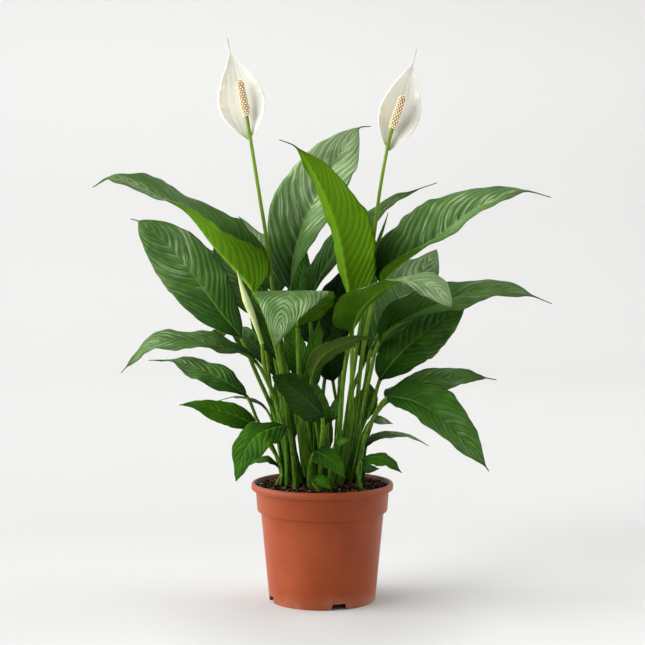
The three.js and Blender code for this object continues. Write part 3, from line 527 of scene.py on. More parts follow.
def leaf(name, foot, stalk, blade, breadth, roll=0, fold=(25, 12, 10), rounding=0.7, taper=1.25,
         drip=0, ruffle=2.5, curl=-20, sheath=0.8, veins=None, pale=0.3, yellow=0.3):
    """A leaf that stands on its foot, on a line through the points of its stalk and its blade.

    roll and fold are degrees at the blade's base, middle and tip, or one for all three. A low
    rounding makes the base blunt and a low taper the tip, and drip is the share of the length
    that is drawn out thin. ruffle is the height of the waves, curl the bend from rib to edge,
    sheath how much wider the stalk is at its foot, and veins the number of side veins. The
    painted light, when above 0, paints highlight streaks and gloss on the blade; below 0 it
    paints shade that darkens the leaf towards near black. A yellow below 0 makes it olive.
    """
    name = "leaf_" + name
    seed = (sum(map(ord, name)) % 97) / 97
    shape = dict(breadth=breadth, roll=np.broadcast_to(roll, 3), fold=np.broadcast_to(fold, 3),
                 rounding=rounding, taper=taper, drip=drip, ruffle=ruffle, curl=curl, seed=seed)
    x, y = foot
    rib = Rib([(x, y, SOIL_HEIGHT - ROOT_DEPTH), (x, y, SOIL_HEIGHT), *stalk, *blade])
    collar = rib.lengths[Rib.STEPS * (2 + len(stalk))]
    outward = np.subtract(blade[-1], blade[0])[:2]
    outward = outward / math.hypot(*outward)
    slim = rib_radius(breadth)
    long = rib.end - collar
    columns = 4 * (12 if breadth > 45 else 9 if breadth > 25 else 6)
    stalk_rows = max(10, int(collar / 9))
    blade_rows = int(min(110, max(36, long / 2.3)))
    s = np.linspace(0, 1, blade_rows + 1)[1:] ** 1.12
    u = -1 + 4 * np.arange(columns // 2 + 1) / columns
    down, across = s[:, None], np.abs(u)[None, :]
    uneven = (0.012 * wave(2.3 * down + seed + np.where(u > 0, 0.4, 0)[None, :])
              + 0.004 * wave(6.1 * down + 3 * seed))
    phase = (veins or 5 + long / 20) * (down + uneven - 0.14 * across - 0.155 * across ** 2) + 40
    plump = 0.5 - 0.5 * np.cos(2 * math.pi * phase)
    quilt = (min(0.5, breadth * 0.008) * plump * ramp(0.02, 0.2, across) * (1 - ramp(0.75, 1, across))
             * ramp(0, 0.12, down) * (1 - ramp(0.85, 1, down)))
    sheet, normals, off_rib = blade_sheet(rib, collar, outward, shape, slim, quilt, s, u)
    skin = BLADE_THICKNESS / 2 * np.sqrt(1 - across ** 8) * np.ones_like(off_rib)
    keel_width = (1.15 * slim * (1 - s) ** 0.7 + 0.35)[:, None]
    keel = (slim * (1 - s) ** 1.3)[:, None] * np.exp(-(off_rib / keel_width) ** 2)
    flesh = thick_sheet(sheet, normals, skin - 0.22 * keel, skin + keel)

    q = np.concatenate([np.linspace(0, 1, stalk_rows + 1), 1 + s * long / collar])
    ahead = rib.along(q * collar)
    side, up = rolled_frame(ahead, outward, shape["roll"][0] * ramp(0.3, 1, q))
    grown = 1 + sheath * (1 - ramp(0.05, 0.75, q))
    turn = 2 * math.pi * np.arange(columns + 1) / columns
    groove = np.exp(-((turn - math.pi / 2) / 0.5) ** 2)
    channel = 1 - (0.45 * ramp(1, 1.6, grown) + 0.2)[:, None] * groove
    wide = (slim * grown)[:, None] * -np.cos(turn)
    thick = (slim * (0.8 + 0.2 * grown))[:, None] * np.sin(turn) * channel
    oval = rib.at(q * collar)[:, None] + side[:, None] * wide[..., None] + up[:, None] * thick[..., None]
    taken = ramp(0, 0.05, s)[:, None, None]
    points = np.concatenate([oval[:stalk_rows + 1], mix(oval[stalk_rows + 1:], flesh, taken)])

    both = np.concatenate([u, u[-2::-1]])
    form = np.zeros((len(q), columns + 1, 3))
    form[..., 0] = both
    form[..., 1] = np.concatenate([q[:stalk_rows + 1] - 1, s])[:, None]
    form[stalk_rows + 1:, :, 2] = np.concatenate([phase, phase[:, -2::-1]], axis=1)
    form[:stalk_rows + 1, :, 2] = form[stalk_rows + 1, :, 2]
    bm = wound(points, form, (pale, yellow, seed),
               lambda round_it, row: 2 if row < stalk_rows else 0 if round_it < 0.5 else 1)
    return piece(bm, name, "leaf", upper_face, under_face, stalk_skin)


# Veins: the main side veins lie where the third number of the form is whole, finer ones between.
veining = bpy.data.node_groups.new("veining", "ShaderNodeTree")
for label in ("Relief", "Rib", "Vein", "Crest", "Fine"):
    veining.interface.new_socket(label, in_out="OUTPUT", socket_type="NodeSocketFloat")
form = carried(veining, "form")
across = calc(veining, "ABSOLUTE", form["X"])
nearness = calc(veining, "PINGPONG", form["Z"], 0.5)
vein = band(veining, nearness, 0.07, 0.0)
pillow = band(veining, nearness, 0.0, 0.42)
fine_nearness = calc(veining, "PINGPONG", times(veining, form["Z"], 5.0), 0.5)
fine = band(veining, fine_nearness, 0.25, 0.0)
# The middle of each pillow between the veins, where the painted highlight streaks lie.
highlight_crest = band(veining, calc(veining, "ABSOLUTE", calc(veining, "SUBTRACT", nearness, 0.34)), 0.15, 0.02)
rib_width = band(veining, form["Y"], 0.0, 0.6, 0.075, 0.022)
rib = calc(veining, "SUBTRACT", 1.0, band(veining, calc(veining, "DIVIDE", across, rib_width), 0.4, 1.0))
relief = calc(veining, "SUBTRACT", times(veining, pillow, 0.8), times(veining, fine, 0.14))
add(veining, "NodeGroupOutput", relief, rib, vein, highlight_crest, fine)


def leaf_finish(name, deep, fresh, painted_sheen, painted_base_shade, vein_tone, rib_tone, fresh_by, painted_sheen_by, painted_base_shade_by,
                vein_by, roughness, relief_depth):
    """One face of the blades. Each leaf's look says how much painted highlight or painted shade it
    carries, and how yellow it is.
    """
    material, tree, place = new_finish(name)
    form, look = carried(tree, "form"), carried(tree, "look")
    veins = add(tree, "Group", node_tree=veining).outputs
    mottle = mottled(tree, place, scale=38.0, detail=4.0, roughness=0.6)
    lengthwise = add(tree, "CombineXYZ", calc(tree, "ABSOLUTE", form["X"]), form["Z"],
                     times(tree, look["Z"], 50.0))
    streak = stretched(tree, lengthwise, (1.9, 3.1, 1), scale=1.0, detail=4.0, roughness=0.65)
    regions = add(tree, "CombineXYZ", form["X"], form["Y"], times(tree, look["Z"], 31.0))
    patch = stretched(tree, regions, (1.3, 4.5, 1), scale=1.0, detail=2.0)
    tone = blend(tree, band(tree, mottle, 0.3, 0.7, 0.0, 0.45), deep, fresh)
    tone = blend(tree, times(tree, look["Y"], fresh_by, clamp=True), tone, fresh)
    olive = times(tree, look["Y"], -1.0, clamp=True)
    tone = blend(tree, olive, tone, (0.055, 0.062, 0.021))
    # Painted highlight: light gloss streaks along the pillows between the veins, brighter towards the
    # tip.
    highlight_streaks = times(tree, band(tree, streak, 0.38, 0.66), band(tree, patch, 0.38, 0.62, 0.12, 1.0))
    highlight_streaks = times(tree, highlight_streaks, band(tree, veins["Crest"], 0.0, 1.0, 0.22, 1.0))
    painted_highlight = times(tree, times(tree, look["X"], painted_sheen_by),
                 calc(tree, "MULTIPLY_ADD", highlight_streaks, 0.88, 0.10))
    painted_highlight = times(tree, painted_highlight, band(tree, form["Y"], 0.1, 0.75, 0.12, 1.3), clamp=True)
    # Painted shade darkens the blade towards its base.
    tone = blend(tree, band(tree, form["Y"], 0.5, 0.0, 0.0, painted_base_shade_by), tone, painted_base_shade)
    tone = blend(tree, painted_highlight, tone, painted_sheen)
    tone = blend(tree, times(tree, veins["Fine"], 0.25 * vein_by), tone, vein_tone)
    tone = blend(tree, times(tree, veins["Vein"], vein_by), tone, vein_tone)
    margin = band(tree, calc(tree, "ABSOLUTE", form["X"]), 0.955, 1.0, 0.0, 0.4)
    pale_lines = calc(tree, "MAXIMUM", margin, times(tree, veins["Rib"], 0.6))
    tone = blend(tree, pale_lines, tone, rib_tone)
    # Painted shade: a look below 0 darkens the whole leaf towards near black.
    shade = times(tree, look["X"], -0.85, clamp=True)
    tone = blend(tree, shade, tone, (0.004, 0.012, 0.002))
    bump = add(tree, "Bump", height=veins["Relief"], strength=0.9, distance=relief_depth)
    grain = mottled(tree, place, scale=900.0, detail=2.0)
    bump = add(tree, "Bump", height=grain, strength=0.12, distance=0.0002, normal=bump)
    rough = band(tree, streak, 0.3, 0.7, roughness + 0.08, roughness - 0.05)
    coat(tree, base_color=tone, roughness=rough, specular_ior_level=0.025, normal=bump)
    return material


# The sheen colours are painted highlight, and the hollow colours painted shade towards the base.
upper_face = leaf_finish(
    "leaf_upper_face", deep=(0.010, 0.050, 0.002), fresh=(0.060, 0.170, 0.006),
    painted_sheen=(0.290, 0.395, 0.205), painted_base_shade=(0.005, 0.030, 0.001), vein_tone=(0.006, 0.030, 0.001),
    rib_tone=(0.11, 0.24, 0.030), fresh_by=0.35, painted_sheen_by=1.1, painted_base_shade_by=0.85, vein_by=0.45,
    roughness=0.36, relief_depth=0.0010)
under_face = leaf_finish(
    "leaf_under_face", deep=(0.022, 0.072, 0.002), fresh=(0.100, 0.222, 0.005),
    painted_sheen=(0.17, 0.33, 0.05), painted_base_shade=(0.016, 0.060, 0.001), vein_tone=(0.034, 0.110, 0.002),
    rib_tone=(0.16, 0.32, 0.025), fresh_by=1.0, painted_sheen_by=0.35, painted_base_shade_by=0.3, vein_by=0.6,
    roughness=0.5, relief_depth=0.0008)

stalk_skin, tree, place = new_finish("leaf_stalk")
form, look = carried(tree, "form"), carried(tree, "look")
threads = stretched(tree, place, (1, 1, 0.04), scale=900.0, detail=2.0)
patches = mottled(tree, place, scale=30.0, detail=3.0)
tone = blend(tree, band(tree, threads, 0.3, 0.7), (0.009, 0.038, 0.001), (0.088, 0.195, 0.016))
young = times(tree, look["Y"], band(tree, form["Y"], -0.55, -0.12, 0.05, 0.35))
tone = blend(tree, young, tone, (0.30, 0.42, 0.04))
# Painted shade: the stalks are darker in patches low down, inside the clump.
painted_low_shade = times(tree, band(tree, form["Y"], -0.45, -0.85), band(tree, patches, 0.35, 0.65, 0.35, 0.85))
tone = blend(tree, painted_low_shade, tone, (0.024, 0.066, 0.004))
tone = blend(tree, band(tree, form["Y"], -0.93, -1.0, 0.0, 0.6), tone, (0.10, 0.09, 0.03))
coat(tree, base_color=tone, roughness=0.36, specular_ior_level=0.03,
     normal=add(tree, "Bump", height=threads, strength=0.3, distance=0.0003))

leaf("left_crest", (-24, -2), [(-37, -6, 192), (-54, -8, 300)], [(-78, -5, 366), (-101, -10, 394),
     (-126, -20, 423), (-159, -34, 464), (-187, -44, 480), (-214, -50, 494), (-241, -50, 503),
     (-269, -22, 492)], breadth=108, roll=(-10, -8, -58), fold=(78, 18, 0), rounding=0.5, taper=0.95,
     drip=0.12, curl=-4, sheath=1.2, pale=1.1, yellow=0.8)
leaf("left_broad", (-34, 14), [(-45, 10, 190), (-81, 8, 275)], [(-97, 8, 313), (-122, 18, 343),
     (-144, 28, 372), (-168, 38, 402), (-194, 48, 429), (-214, 54, 445), (-227, 60, 454),
     (-235, 61, 456)], breadth=71, roll=(-55, -62, -62), fold=(12, 8, 5), rounding=0.8, taper=0.72,
     drip=0.05, sheath=1.2, pale=0.75, yellow=0.25)
leaf("left_arching", (-42, -14), [(-45, -30, 207), (-64, -36, 264)], [(-77, -40, 288), (-96, -48, 301),
     (-118, -56, 308), (-147, -62, 315), (-177, -68, 316), (-202, -72, 308), (-230, -78, 279)],
     breadth=56, roll=-20, fold=(30, 12, 5), rounding=0.9, taper=1.0, drip=0.05, ruffle=3, sheath=1.2,
     pale=1.2)
leaf("left_low", (-46, 2), [(-57, 2, 177), (-78, 4, 215)], [(-90, 8, 242), (-110, 16, 256),
     (-132, 26, 267), (-155, 34, 276), (-180, 42, 283), (-213, 50, 283)], breadth=40,
     roll=(-35, -35, -20), fold=(15, 10, 5), rounding=1.0, drip=0.12, sheath=1.2, pale=0.65)
leaf("left_young", (-50, -12), [(-47, -14, 157), (-63, -18, 188)], [(-78, -20, 209), (-100, -22, 222),
     (-128, -24, 231), (-151, -24, 237), (-169, -24, 236)], breadth=34, roll=(-50, -50, -40),
     fold=(10, 5, 5), ruffle=0.5, pale=0, yellow=1.3)
leaf("front_left_low", (-32, -34), [(-34, -42, 173)], [(-42, -56, 213), (-60, -68, 213), (-78, -80, 204),
     (-90, -88, 185), (-98, -96, 157)], breadth=48, roll=(-20, -25, -20), fold=5, rounding=0.6, taper=1.0,
     pale=0, yellow=0.1)
leaf("back_tall", (-14, 14), [(-29, 22, 213), (-37, 30, 321)], [(-38, 36, 367), (-37, 46, 396),
     (-26, 60, 440), (-8, 76, 485), (17, 94, 530), (36, 106, 559), (47, 112, 571), (61, 116, 573)],
     breadth=93, roll=(20, 30, 56), fold=(54, 33, 10), rounding=0.75, taper=0.9, drip=0.06, sheath=1.3,
     veins=13, pale=2.6)
leaf("front_tall", (20, -12), [(32, -18, 206), (35, -18, 259), (35, -17, 307)], [(34, -19, 355),
     (27, -27, 393), (21, -36, 427), (11, -47, 463), (-3, -58, 495), (-16, -66, 518), (-30, -70, 536),
     (-49, -78, 544)], breadth=82, roll=(15, 18, 31), fold=(50, 49, 30), rounding=0.55, taper=1.05,
     drip=0.1, sheath=1.2, pale=0.4, yellow=1.0)
leaf("front_left_drooping", (-8, -22), [(-24, -18, 206), (-28, -16, 277)], [(-29, -20, 328),
     (-32, -52, 358), (-35, -90, 373), (-40, -120, 360), (-46, -142, 338), (-52, -158, 312)], breadth=98,
     fold=(10, 0, 0), rounding=0.6, ruffle=1.5, curl=-5, sheath=1.5, veins=20, pale=1.15, yellow=0.2)
leaf("front_right_arching", (10, -26), [(20, -28, 207), (24, -28, 260), (29, -29, 296)], [(34, -32, 322),
     (41, -48, 345), (57, -66, 365), (79, -84, 380), (104, -98, 384), (126, -108, 378), (144, -114, 356)],
     breadth=82, roll=(-6, 5, 20), fold=(32, 20, 5), rounding=0.5, taper=0.75, sheath=1.1, veins=11,
     pale=2.3, yellow=0.15)
leaf("right_high", (22, 2), [(37, -6, 204), (49, -11, 306)], [(67, -12, 376), (89, -16, 400),
     (115, -20, 419), (142, -28, 439), (169, -36, 461), (199, -40, 478), (229, -40, 488),
     (266, -36, 480)], breadth=88, roll=(34, 45, 42), fold=(64, 43, -6), drip=0.12, pale=1.35, yellow=0.5)
leaf("back_right_dark", (4, 20), [(-5, 30, 200), (-13, 42, 296)], [(-13, 52, 359), (0, 66, 390),
     (19, 80, 418), (42, 94, 441), (70, 108, 464), (101, 122, 486), (146, 138, 503)], breadth=52,
     roll=(10, 15, 20), fold=(30, 20, 10), drip=0.12, pale=0.8, yellow=0.2)
leaf("spear", (26, 10), [(41, 14, 238), (53, 18, 346)], [(62, 20, 412), (69, 20, 430), (75, 21, 448),
     (79, 22, 463)], breadth=9, fold=50, ruffle=0, pale=-0.1)
leaf("right_level", (32, -2), [(42, 6, 191), (58, 10, 272)], [(68, 12, 308), (86, 15, 326),
     (110, 20, 340), (138, 24, 352), (166, 27, 363), (199, 26, 371), (233, 20, 370), (272, -8, 355)],
     breadth=66, roll=(38, 32, 34), fold=(58, 14, -5), taper=1.1, drip=0.1, pale=0.75, yellow=0.4)
leaf("right_back", (28, 24), [(40, 27, 200), (53, 28, 261)], [(59, 34, 297), (73, 46, 325), (91, 60, 353),
     (110, 74, 380), (128, 84, 399), (143, 92, 418)], breadth=76, roll=(20, 30, 30), fold=(20, 12, 5),
     taper=0.85, pale=1.8)
leaf("right_broad", (40, 10), [(43, 12, 190), (62, 12, 238)], [(69, 16, 261), (83, 26, 280),
     (103, 38, 300), (128, 50, 319), (152, 60, 336), (176, 68, 351)], breadth=61, roll=(45, 50, 50),
     fold=(15, 8, 5), taper=0.8, yellow=0.25)
leaf("right_low_far", (44, -6), [(47, -8, 192), (66, -8, 226)], [(79, -6, 244), (96, 2, 251),
     (120, 10, 259), (149, 18, 264), (181, 24, 266), (211, 28, 261)], breadth=36, roll=45,
     fold=(20, 12, 5), rounding=0.85, taper=1.0, drip=0.08, ruffle=1.2, pale=0.75)
leaf("right_low_near", (42, -24), [(49, -28, 195), (64, -34, 231)], [(76, -40, 247), (92, -52, 247),
     (114, -66, 241), (136, -80, 227), (156, -92, 209), (173, -100, 191), (188, -106, 170)], breadth=61,
     roll=(36, 36, 50), fold=(34, 32, 8), taper=1.15, drip=0.03, pale=0.35, yellow=0.25)
leaf("right_sliver", (36, 17), [(36, 18, 162)], [(44, 20, 174), (52, 21, 184), (63, 23, 192),
     (77, 26, 195), (94, 30, 195), (111, 34, 190), (130, 38, 179)], breadth=22, roll=15, fold=(10, 5, 5),
     ruffle=0.5, pale=1.8, yellow=0.5)
leaf("right_small", (46, -38), [(41, -40, 161)], [(46, -42, 173), (60, -48, 178), (76, -54, 175),
     (92, -60, 161)], breadth=30, roll=22, fold=0, ruffle=1, pale=-0.15, yellow=0.4)
leaf("right_small_back", (45, 2), [(39, 0, 153)], [(42, 0, 159), (54, 4, 157), (69, 10, 155)], breadth=14,
     roll=60, fold=5, ruffle=0.5, yellow=0.4)
leaf("front_low", (-14, -44), [(-16, -46, 155)], [(-9, -52, 184), (1, -60, 182), (13, -68, 174),
     (27, -78, 157)], breadth=31, roll=(30, 32, 35), fold=(5, 12, 5), rounding=0.55, ruffle=1, pale=-0.25)
leaf("front_tiny", (6, -42), [(10, -40, 171)], [(14, -42, 191), (23, -46, 196), (33, -50, 198)],
     breadth=12, roll=60, fold=5, ruffle=0.3, pale=0.2, yellow=1.0)
leaf("soil_small", (-4, -56), [], [(-11, -58, 151), (-2, -64, 153), (11, -72, 143)], breadth=16,
     roll=(70, 60, 55), fold=0, ruffle=0.3, pale=-0.1, yellow=0.4)
leaf("front_dark", (-2, -34), [(-2, -38, 185)], [(0, -50, 225), (-13, -62, 241), (-28, -72, 255),
     (-43, -82, 267), (-57, -86, 275)], breadth=54, roll=(-58, -60, -60), fold=(8, 5, 5), taper=0.85,
     ruffle=1, pale=-0.65)
leaf("front_olive", (2, -12), [(-3, -22, 182), (-11, -34, 243)], [(-13, -42, 271), (-5, -50, 291),
     (11, -58, 305), (32, -64, 314), (50, -68, 319), (66, -70, 315)], breadth=28, roll=(-45, -40, -30),
     fold=(20, 10, 10), ruffle=1, yellow=-0.65)
leaf("back_shade", (6, 34), [(0, 42, 210), (2, 48, 253)], [(9, 56, 290), (11, 70, 316), (15, 86, 346),
     (20, 98, 373), (25, 106, 392)], breadth=58, fold=(20, 10, 5), taper=0.9, pale=-1.1, yellow=0)
leaf("back_slim", (-16, 34), [(-20, 42, 210), (-27, 56, 295)], [(-30, 68, 350), (-28, 80, 373),
     (-24, 90, 395), (-19, 97, 418)], breadth=32, fold=(20, 10, 5), ruffle=1, pale=-0.3, yellow=0.1)
leaf("back_left_small", (-30, 30), [(-37, 36, 199), (-49, 48, 296)], [(-57, 62, 363), (-67, 76, 393),
     (-80, 88, 423), (-93, 98, 446), (-105, 104, 460)], breadth=52, roll=(-10, -15, -15),
     fold=(20, 10, 5), pale=2.6, yellow=0.8)
leaf("back_left", (-38, 26), [(-44, 28, 200), (-56, 30, 279)], [(-67, 34, 327), (-87, 46, 358),
     (-107, 58, 387), (-134, 68, 423)], breadth=54, roll=-20, fold=(20, 8, 5), taper=0.85, pale=0.9,
     yellow=0.2)
leaf("left_inner", (-24, 10), [(-38, 8, 202), (-47, 9, 257)], [(-54, 11, 286), (-66, 13, 309),
     (-79, 17, 332), (-90, 22, 353)], breadth=42, roll=-20, fold=(30, 20, 10), ruffle=1, pale=-0.15,
     yellow=0.35)
leaf("left_pale", (-48, 16), [(-54, 22, 188)], [(-68, 30, 225), (-85, 36, 236), (-106, 42, 239),
     (-129, 48, 233)], breadth=18, fold=(10, 5, 5), ruffle=0.5, pale=1.5, yellow=0.7)
leaf("left_soil", (-55, -3), [(-48, -4, 153)], [(-53, -7, 161), (-62, -9, 169), (-74, -12, 170),
     (-91, -14, 162)], breadth=18, roll=-20, fold=5, ruffle=0.8, pale=0.1, yellow=0.4)
leaf("right_tiny", (47, 27), [(45, 32, 175)], [(59, 30, 211), (73, 34, 211), (86, 38, 206)], breadth=12,
     roll=60, fold=5, ruffle=0.3, pale=2.5, yellow=0.4)
leaf("right_inner", (40, 30), [(36, 34, 175)], [(42, 41, 203), (47, 46, 218), (54, 52, 235),
     (59, 58, 253)], breadth=35, roll=(10, 20, 25), fold=(20, 10, 5), taper=0.8, ruffle=0.8, pale=-0.2,
     yellow=0.2)
leaf("centre_gap", (12, 24), [(8, 26, 176)], [(7, 26, 209), (13, 29, 224), (20, 33, 243)], breadth=30,
     fold=(8, 5, 5), ruffle=0.5, yellow=1.0)
leaf("centre_bright", (-12, -8), [(-25, -6, 204), (-28, -6, 264)], [(-28, -2, 268), (-31, -1, 293),
     (-37, -1, 319), (-43, -2, 340)], breadth=30, roll=-96, fold=(20, 15, 5), ruffle=0.5, pale=0.1,
     yellow=0.9)
leaf("centre_back", (-4, 6), [(-15, 12, 190)], [(-17, 13, 245), (-12, 17, 274), (-8, 23, 306),
     (-3, 31, 336)], breadth=36, fold=(25, 15, 5), pale=-0.15, yellow=0.5)
leaf("centre_slim", (8, -2), [(3, -4, 180)], [(3, -6, 210), (-2, -10, 235), (-9, -16, 266)], breadth=20,
     roll=-110, fold=(25, 15, 5), ruffle=0.5, pale=0.1, yellow=0.5)
leaf("centre_shade", (24, 31), [(22, 38, 199)], [(13, 40, 258), (11, 42, 274), (14, 46, 296),
     (18, 50, 320)], breadth=42, fold=(20, 10, 5), taper=0.9, ruffle=1, pale=-0.8, yellow=0)
leaf("behind_middle", (-6, 42), [(-10, 60, 230)], [(-14, 76, 300), (-18, 100, 340), (-22, 128, 356),
     (-26, 146, 352), (-30, 161, 336)], breadth=61, pale=-0.3, yellow=0.2)
leaf("behind_right", (24, 42), [(33, 62, 230)], [(52, 66, 280), (70, 92, 312), (88, 120, 322),
     (102, 144, 314), (112, 157, 292)], breadth=60)
leaf("behind_left", (-34, 40), [(-46, 46, 200)], [(-58, 56, 262), (-84, 82, 300), (-108, 108, 316),
     (-130, 132, 312), (-148, 152, 292)], breadth=60)
leaf("behind_low_right", (40, 44), [(48, 52, 172), (64, 60, 211)], [(81, 68, 230), (102, 84, 228),
     (128, 100, 219), (154, 112, 202), (173, 120, 183)], breadth=38)
leaf("behind_low_left", (-36, 48), [(-39, 55, 156)], [(-43, 64, 174), (-46, 76, 206), (-50, 86, 240),
     (-52, 92, 266)], breadth=38, fold=(15, 10, 5), taper=0.9)
leaf("behind_low", (-3, 59), [], [(-4, 66, 152), (-4, 74, 180), (-5, 80, 215), (-6, 82, 248)], breadth=36,
     fold=(15, 10, 5), taper=0.9, pale=-0.3, yellow=0.2)
leaf("behind_tall", (-22, 56), [(-34, 66, 230), (-57, 90, 335)], [(-51, 103, 382), (-42, 116, 422),
     (-34, 130, 460), (-26, 144, 484), (-18, 152, 498)], breadth=54, pale=-0.1, yellow=0.2)
leaf("behind_high_right", (16, 54), [(20, 72, 230)], [(28, 92, 318), (44, 116, 362), (62, 134, 386),
     (80, 148, 388), (92, 156, 376)], breadth=56)
leaf("behind_high_left", (-46, 33), [(-62, 42, 240)], [(-74, 58, 325), (-94, 80, 378), (-118, 100, 408),
     (-142, 116, 416), (-160, 126, 406)], breadth=56)
leaf("behind_side_right", (50, 38), [(52, 42, 173), (63, 47, 211)], [(78, 54, 234), (99, 72, 247),
     (125, 90, 247), (149, 104, 238), (165, 114, 225)], breadth=38)

# ------------------------ flowers
# Each open flower stands on a round green scape: a blunt spadix closely set with small florets,
# and behind it a cupped white spathe, thin as paper, with lengthwise veins and a drawn-out tip.

SPATHE_SHAPE = dict(fold=(18, 4, 6), curl=34, rounding=0.75, taper=1.15, drip=0.14, ruffle=0, seed=0.4)
SCAPE_FOOT, SCAPE_TOP, SPATHE_THICKNESS, SPADIX_RADIUS = 3.0, 1.9, 0.8, 5.6
FLORET_ROWS, FLORETS_ROUND, FLORET_RADIUS = 15, 8, 1.15


def round_stem(rib, radii, rows, columns, form_start=-1.0):
    """A stem round its line. radii gives its radius at each share of the length and each turn."""
    q = np.linspace(0, 1, rows + 1)
    ahead = rib.along(q * rib.end)
    side = np.array([1.0, 0, 0]) - ahead * ahead[:, :1]
    side /= np.linalg.norm(side, axis=1, keepdims=True)
    front = np.cross(side, ahead)
    turn = 2 * math.pi * np.arange(columns + 1) / columns
    radius = radii(q[:, None], turn[None, :]) * np.ones((rows + 1, columns + 1))
    points = (rib.at(q * rib.end)[:, None] + side[:, None] * (radius * np.cos(turn))[..., None]
              + front[:, None] * (radius * np.sin(turn))[..., None])
    form = np.zeros(points.shape)
    form[..., 0] = turn
    form[..., 1] = form_start + q[:, None]
    return points, form


petal, tree, place = new_finish("spathe_white")
form = carried(tree, "form")
veins = add(tree, "Group", node_tree=veining).outputs
bloom = mottled(tree, place, scale=40.0, detail=3.0)
tone = blend(tree, band(tree, bloom, 0.3, 0.7), (0.80, 0.785, 0.71), (0.84, 0.825, 0.765))
tone = blend(tree, times(tree, veins["Fine"], 0.22), tone, (0.66, 0.68, 0.50))
tip_green = band(tree, form["Y"], 0.86, 1.0, 0.0, 0.75)
base_green = band(tree, form["Y"], 0.10, 0.0, 0.0, 0.6)
middle = band(tree, calc(tree, "ABSOLUTE", form["X"]), 0.16, 0.0, 0.0, 0.25)
# Painted shade: one half of the spathe is painted greyer, to tone down the light that falls on that half.
painted_shade_half = band(tree, form["X"], -0.5, 0.5, 0.0, 0.85)
tone = blend(tree, painted_shade_half, tone, (0.595, 0.59, 0.535))
tone = blend(tree, middle, tone, (0.66, 0.70, 0.42))
tone = blend(tree, tip_green, tone, (0.42, 0.50, 0.20))
tone = blend(tree, base_green, tone, (0.48, 0.58, 0.24))
coat(tree, base_color=tone, roughness=0.55, specular_ior_level=0.2, subsurface_weight=1.0,
     subsurface_radius=(0.010, 0.010, 0.008),
     normal=add(tree, "Bump", height=veins["Relief"], strength=0.5, distance=0.0004))

floret, tree, place = new_finish("spadix_florets")
look = carried(tree, "look")
speck = mottled(tree, place, scale=700.0, detail=2.0)
tone = blend(tree, band(tree, speck, 0.35, 0.65), (0.86, 0.73, 0.46), (0.95, 0.86, 0.64))
tone = blend(tree, look["X"], tone, (0.28, 0.155, 0.060))
tone = blend(tree, look["Y"], tone, (0.86, 0.80, 0.64))
coat(tree, base_color=tone, roughness=0.65)


def flower(name, foot, scape, spadix_tip, blade, breadth, roll):
    """A scape through its points, the spathe on the line of its blade, and the spadix."""
    x, y = foot
    rib = Rib([(x, y, SOIL_HEIGHT - ROOT_DEPTH), (x, y, SOIL_HEIGHT), *scape])
    points, form = round_stem(rib, lambda q, turn: mix(SCAPE_FOOT, SCAPE_TOP, q), rows=110, columns=20)
    piece(wound(points, form, (0.3, 1.2, 0)), "scape_" + name, "stalk", stalk_skin)

    rib = Rib(blade)
    s = np.linspace(0, 1, 97)
    u = np.linspace(-1, 1, 29)
    shape = dict(SPATHE_SHAPE, breadth=breadth, roll=roll)
    furrow = 0.10 * np.cos(2 * math.pi * 6.5 * u)[None, :]
    furrow = furrow * (ramp(0, 0.2, s) * (1 - ramp(0.7, 1, s)))[:, None]
    back = np.array([0.0, 1.0])
    sheet, normals, off_rib = blade_sheet(rib, 0, back, shape, rib_radius(breadth), furrow, s, u)
    skin = SPATHE_THICKNESS / 2 * np.sqrt(1 - np.abs(u) ** 8)[None, :] * np.ones_like(off_rib)
    rib_swell = 0.8 * (1 - s[:, None]) ** 1.5 * np.exp(-(off_rib / 2.2) ** 2)
    points = thick_sheet(sheet, normals, skin, skin + rib_swell)
    form = np.zeros(points.shape)
    form[..., 0] = np.concatenate([u, u[-2::-1]])
    form[..., 1] = s[:, None]
    form[..., 2] = form[..., 0] * 3.4 + 20
    piece(wound(points, form, (0, 0, 0)), "spathe_" + name, "spathe", petal)

    start, tip = np.array(scape[-1], float), np.array(spadix_tip, float)
    start += 0.45 * (tip - start) / np.linalg.norm(tip - start)
    rib = Rib([start, tip])

    def finger(q, turn):
        blunt = np.sqrt(np.maximum(0.02, 1 - (np.maximum(0, q - 0.84) / 0.16) ** 2))
        return (SPADIX_RADIUS - 0.9) * (0.75 + 0.25 * ramp(0, 0.2, q)) * (1 - 0.2 * q) * blunt

    points, form = round_stem(rib, finger, rows=40, columns=28)
    bm = wound(points, form, (1, 0, 0))
    look_layer = bm.verts.layers.float_vector["look"]
    draw = random.Random(len(name))
    rows, columns = FLORET_ROWS, FLORETS_ROUND
    points, form = round_stem(rib, finger, 2 * rows, 2 * columns)
    for row in range(rows + 1):
        for column in range(columns):
            place = points[2 * row, (2 * column + row % 2) % (2 * columns)]
            centre = rib.at(row / rows * rib.end)
            out = Vector(place - centre).normalized()
            if row == rows and column % 3:
                continue
            spot = Vector(place) + out * 0.1
            swell = Matrix.Translation(spot * MM) @ out.to_track_quat("Z", "Y").to_matrix().to_4x4()
            size = (FLORET_RADIUS + 0.06 * draw.random()) * (1 - 0.2 * row / rows)
            berry = (1.02 * size, 0.95, (0, 0.2 * draw.random(), 0))
            eye = (0.4, 0.9, (0, 0.9, 0))
            for radius, high, grown in (berry, eye):
                # The eyes, and the small berries at the tip, stand a little proud.
                small = radius < 1
                lift = Matrix.Translation((0, 0, 0.00055 if small else 0))
                flat = Matrix.Diagonal((1, 1, high, 1))
                bead = bmesh.ops.create_icosphere(bm, subdivisions=1 if small else 2,
                                                  radius=radius * MM, matrix=swell @ lift @ flat)
                for vert in bead["verts"]:
                    vert[look_layer] = grown
    piece(bm, "spadix_" + name, "spadix", floret)


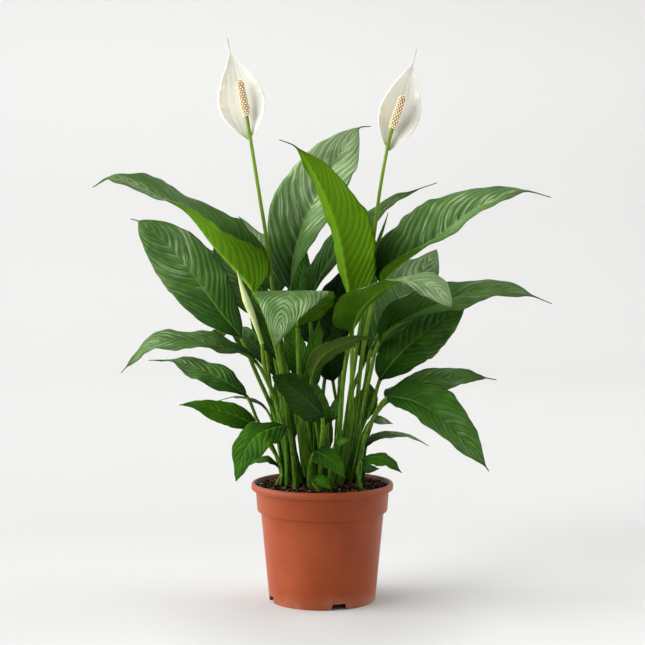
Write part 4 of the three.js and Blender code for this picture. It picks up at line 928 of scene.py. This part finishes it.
flower("left", foot=(-30, -22),
       scape=[(-39, -24, 207), (-47, -18, 278), (-55, -12, 336), (-59, -11, 374), (-65, -16, 427),
              (-73, -22, 478), (-84, -25, 549), (-88, -26, 575)],
       spadix_tip=(-96, -28, 616),
       blade=[(-86, -22, 548), (-88, -17, 566), (-94, -12, 597), (-102, -13, 629), (-108, -17, 650),
              (-111, -21, 666)], breadth=62, roll=(-8, -8, 0))
flower("right", foot=(18, 13),
       scape=[(27, 16, 201), (45, 12, 323), (55, 10, 383), (62, 9, 438), (68, 8, 486), (77, 6, 538),
              (83, 5, 563)],
       spadix_tip=(96, 3, 601),
       blade=[(79, 9, 537), (84, 14, 557), (94, 19, 590), (102, 18, 621), (108, 14, 642),
              (112, 10, 657)], breadth=55, roll=(5, 5, 0))

# ------------------------ bud
# A flower still closed: its pale spathe is rolled into a spindle whose free edge laps over it in
# a slow spiral, on a slim stalk of its own.

BUD_RADIUS, BUD_STALK_FOOT, BUD_STALK_TOP = 4.4, 2.8, 2.0
bud_rib = Rib([(-36, -2, SOIL_HEIGHT - ROOT_DEPTH), (-36, -2, SOIL_HEIGHT), (-41, -4, 156),
               (-56, -14, 241), (-64, -16, 265), (-69, -18, 283), (-71, -20, 307)])
points, form = round_stem(bud_rib, lambda q, turn: mix(BUD_STALK_FOOT, BUD_STALK_TOP, q), 80, 16)
piece(wound(points, form, (0.3, 0.9, 0)), "bud_stalk", "stalk", stalk_skin)

bud_skin, tree, place = new_finish("bud_cream")
form = carried(tree, "form")
threads = stretched(tree, place, (1, 1, 0.06), scale=700.0, detail=2.0)
tone = blend(tree, band(tree, threads, 0.3, 0.7), (0.38, 0.48, 0.16), (0.60, 0.65, 0.32))
tone = blend(tree, band(tree, form["Y"], 0.42, 0.1, 0.0, 0.85), tone, (0.26, 0.38, 0.07))
tone = blend(tree, band(tree, form["Y"], 0.8, 1.0, 0.0, 0.6), tone, (0.34, 0.48, 0.16))
coat(tree, base_color=tone, roughness=0.45,
     normal=add(tree, "Bump", height=threads, strength=0.25, distance=0.0003))


def rolled_spathe(q, turn):
    lap = 0.94 + 0.12 * ((turn / (2 * math.pi) + 0.3 * q) % 1)
    swell = np.where(q < 0.6, mix(0.52, 1, ramp(0, 0.6, q)), np.maximum(0.06, (1 - q) / 0.4) ** 0.8)
    return BUD_RADIUS * swell * lap


bud_top = np.array([-71, -20, 307]) + 0.45 * bud_rib.along(np.array([bud_rib.end]))[0]
spindle = Rib([bud_top, (-80, -22, 336), (-90, -24, 362), (-100, -26, 395)])
points, form = round_stem(spindle, rolled_spathe, rows=70, columns=48, form_start=0.0)
piece(wound(points, form, (0, 0, 0)), "bud_spathe", "bud", bud_skin)
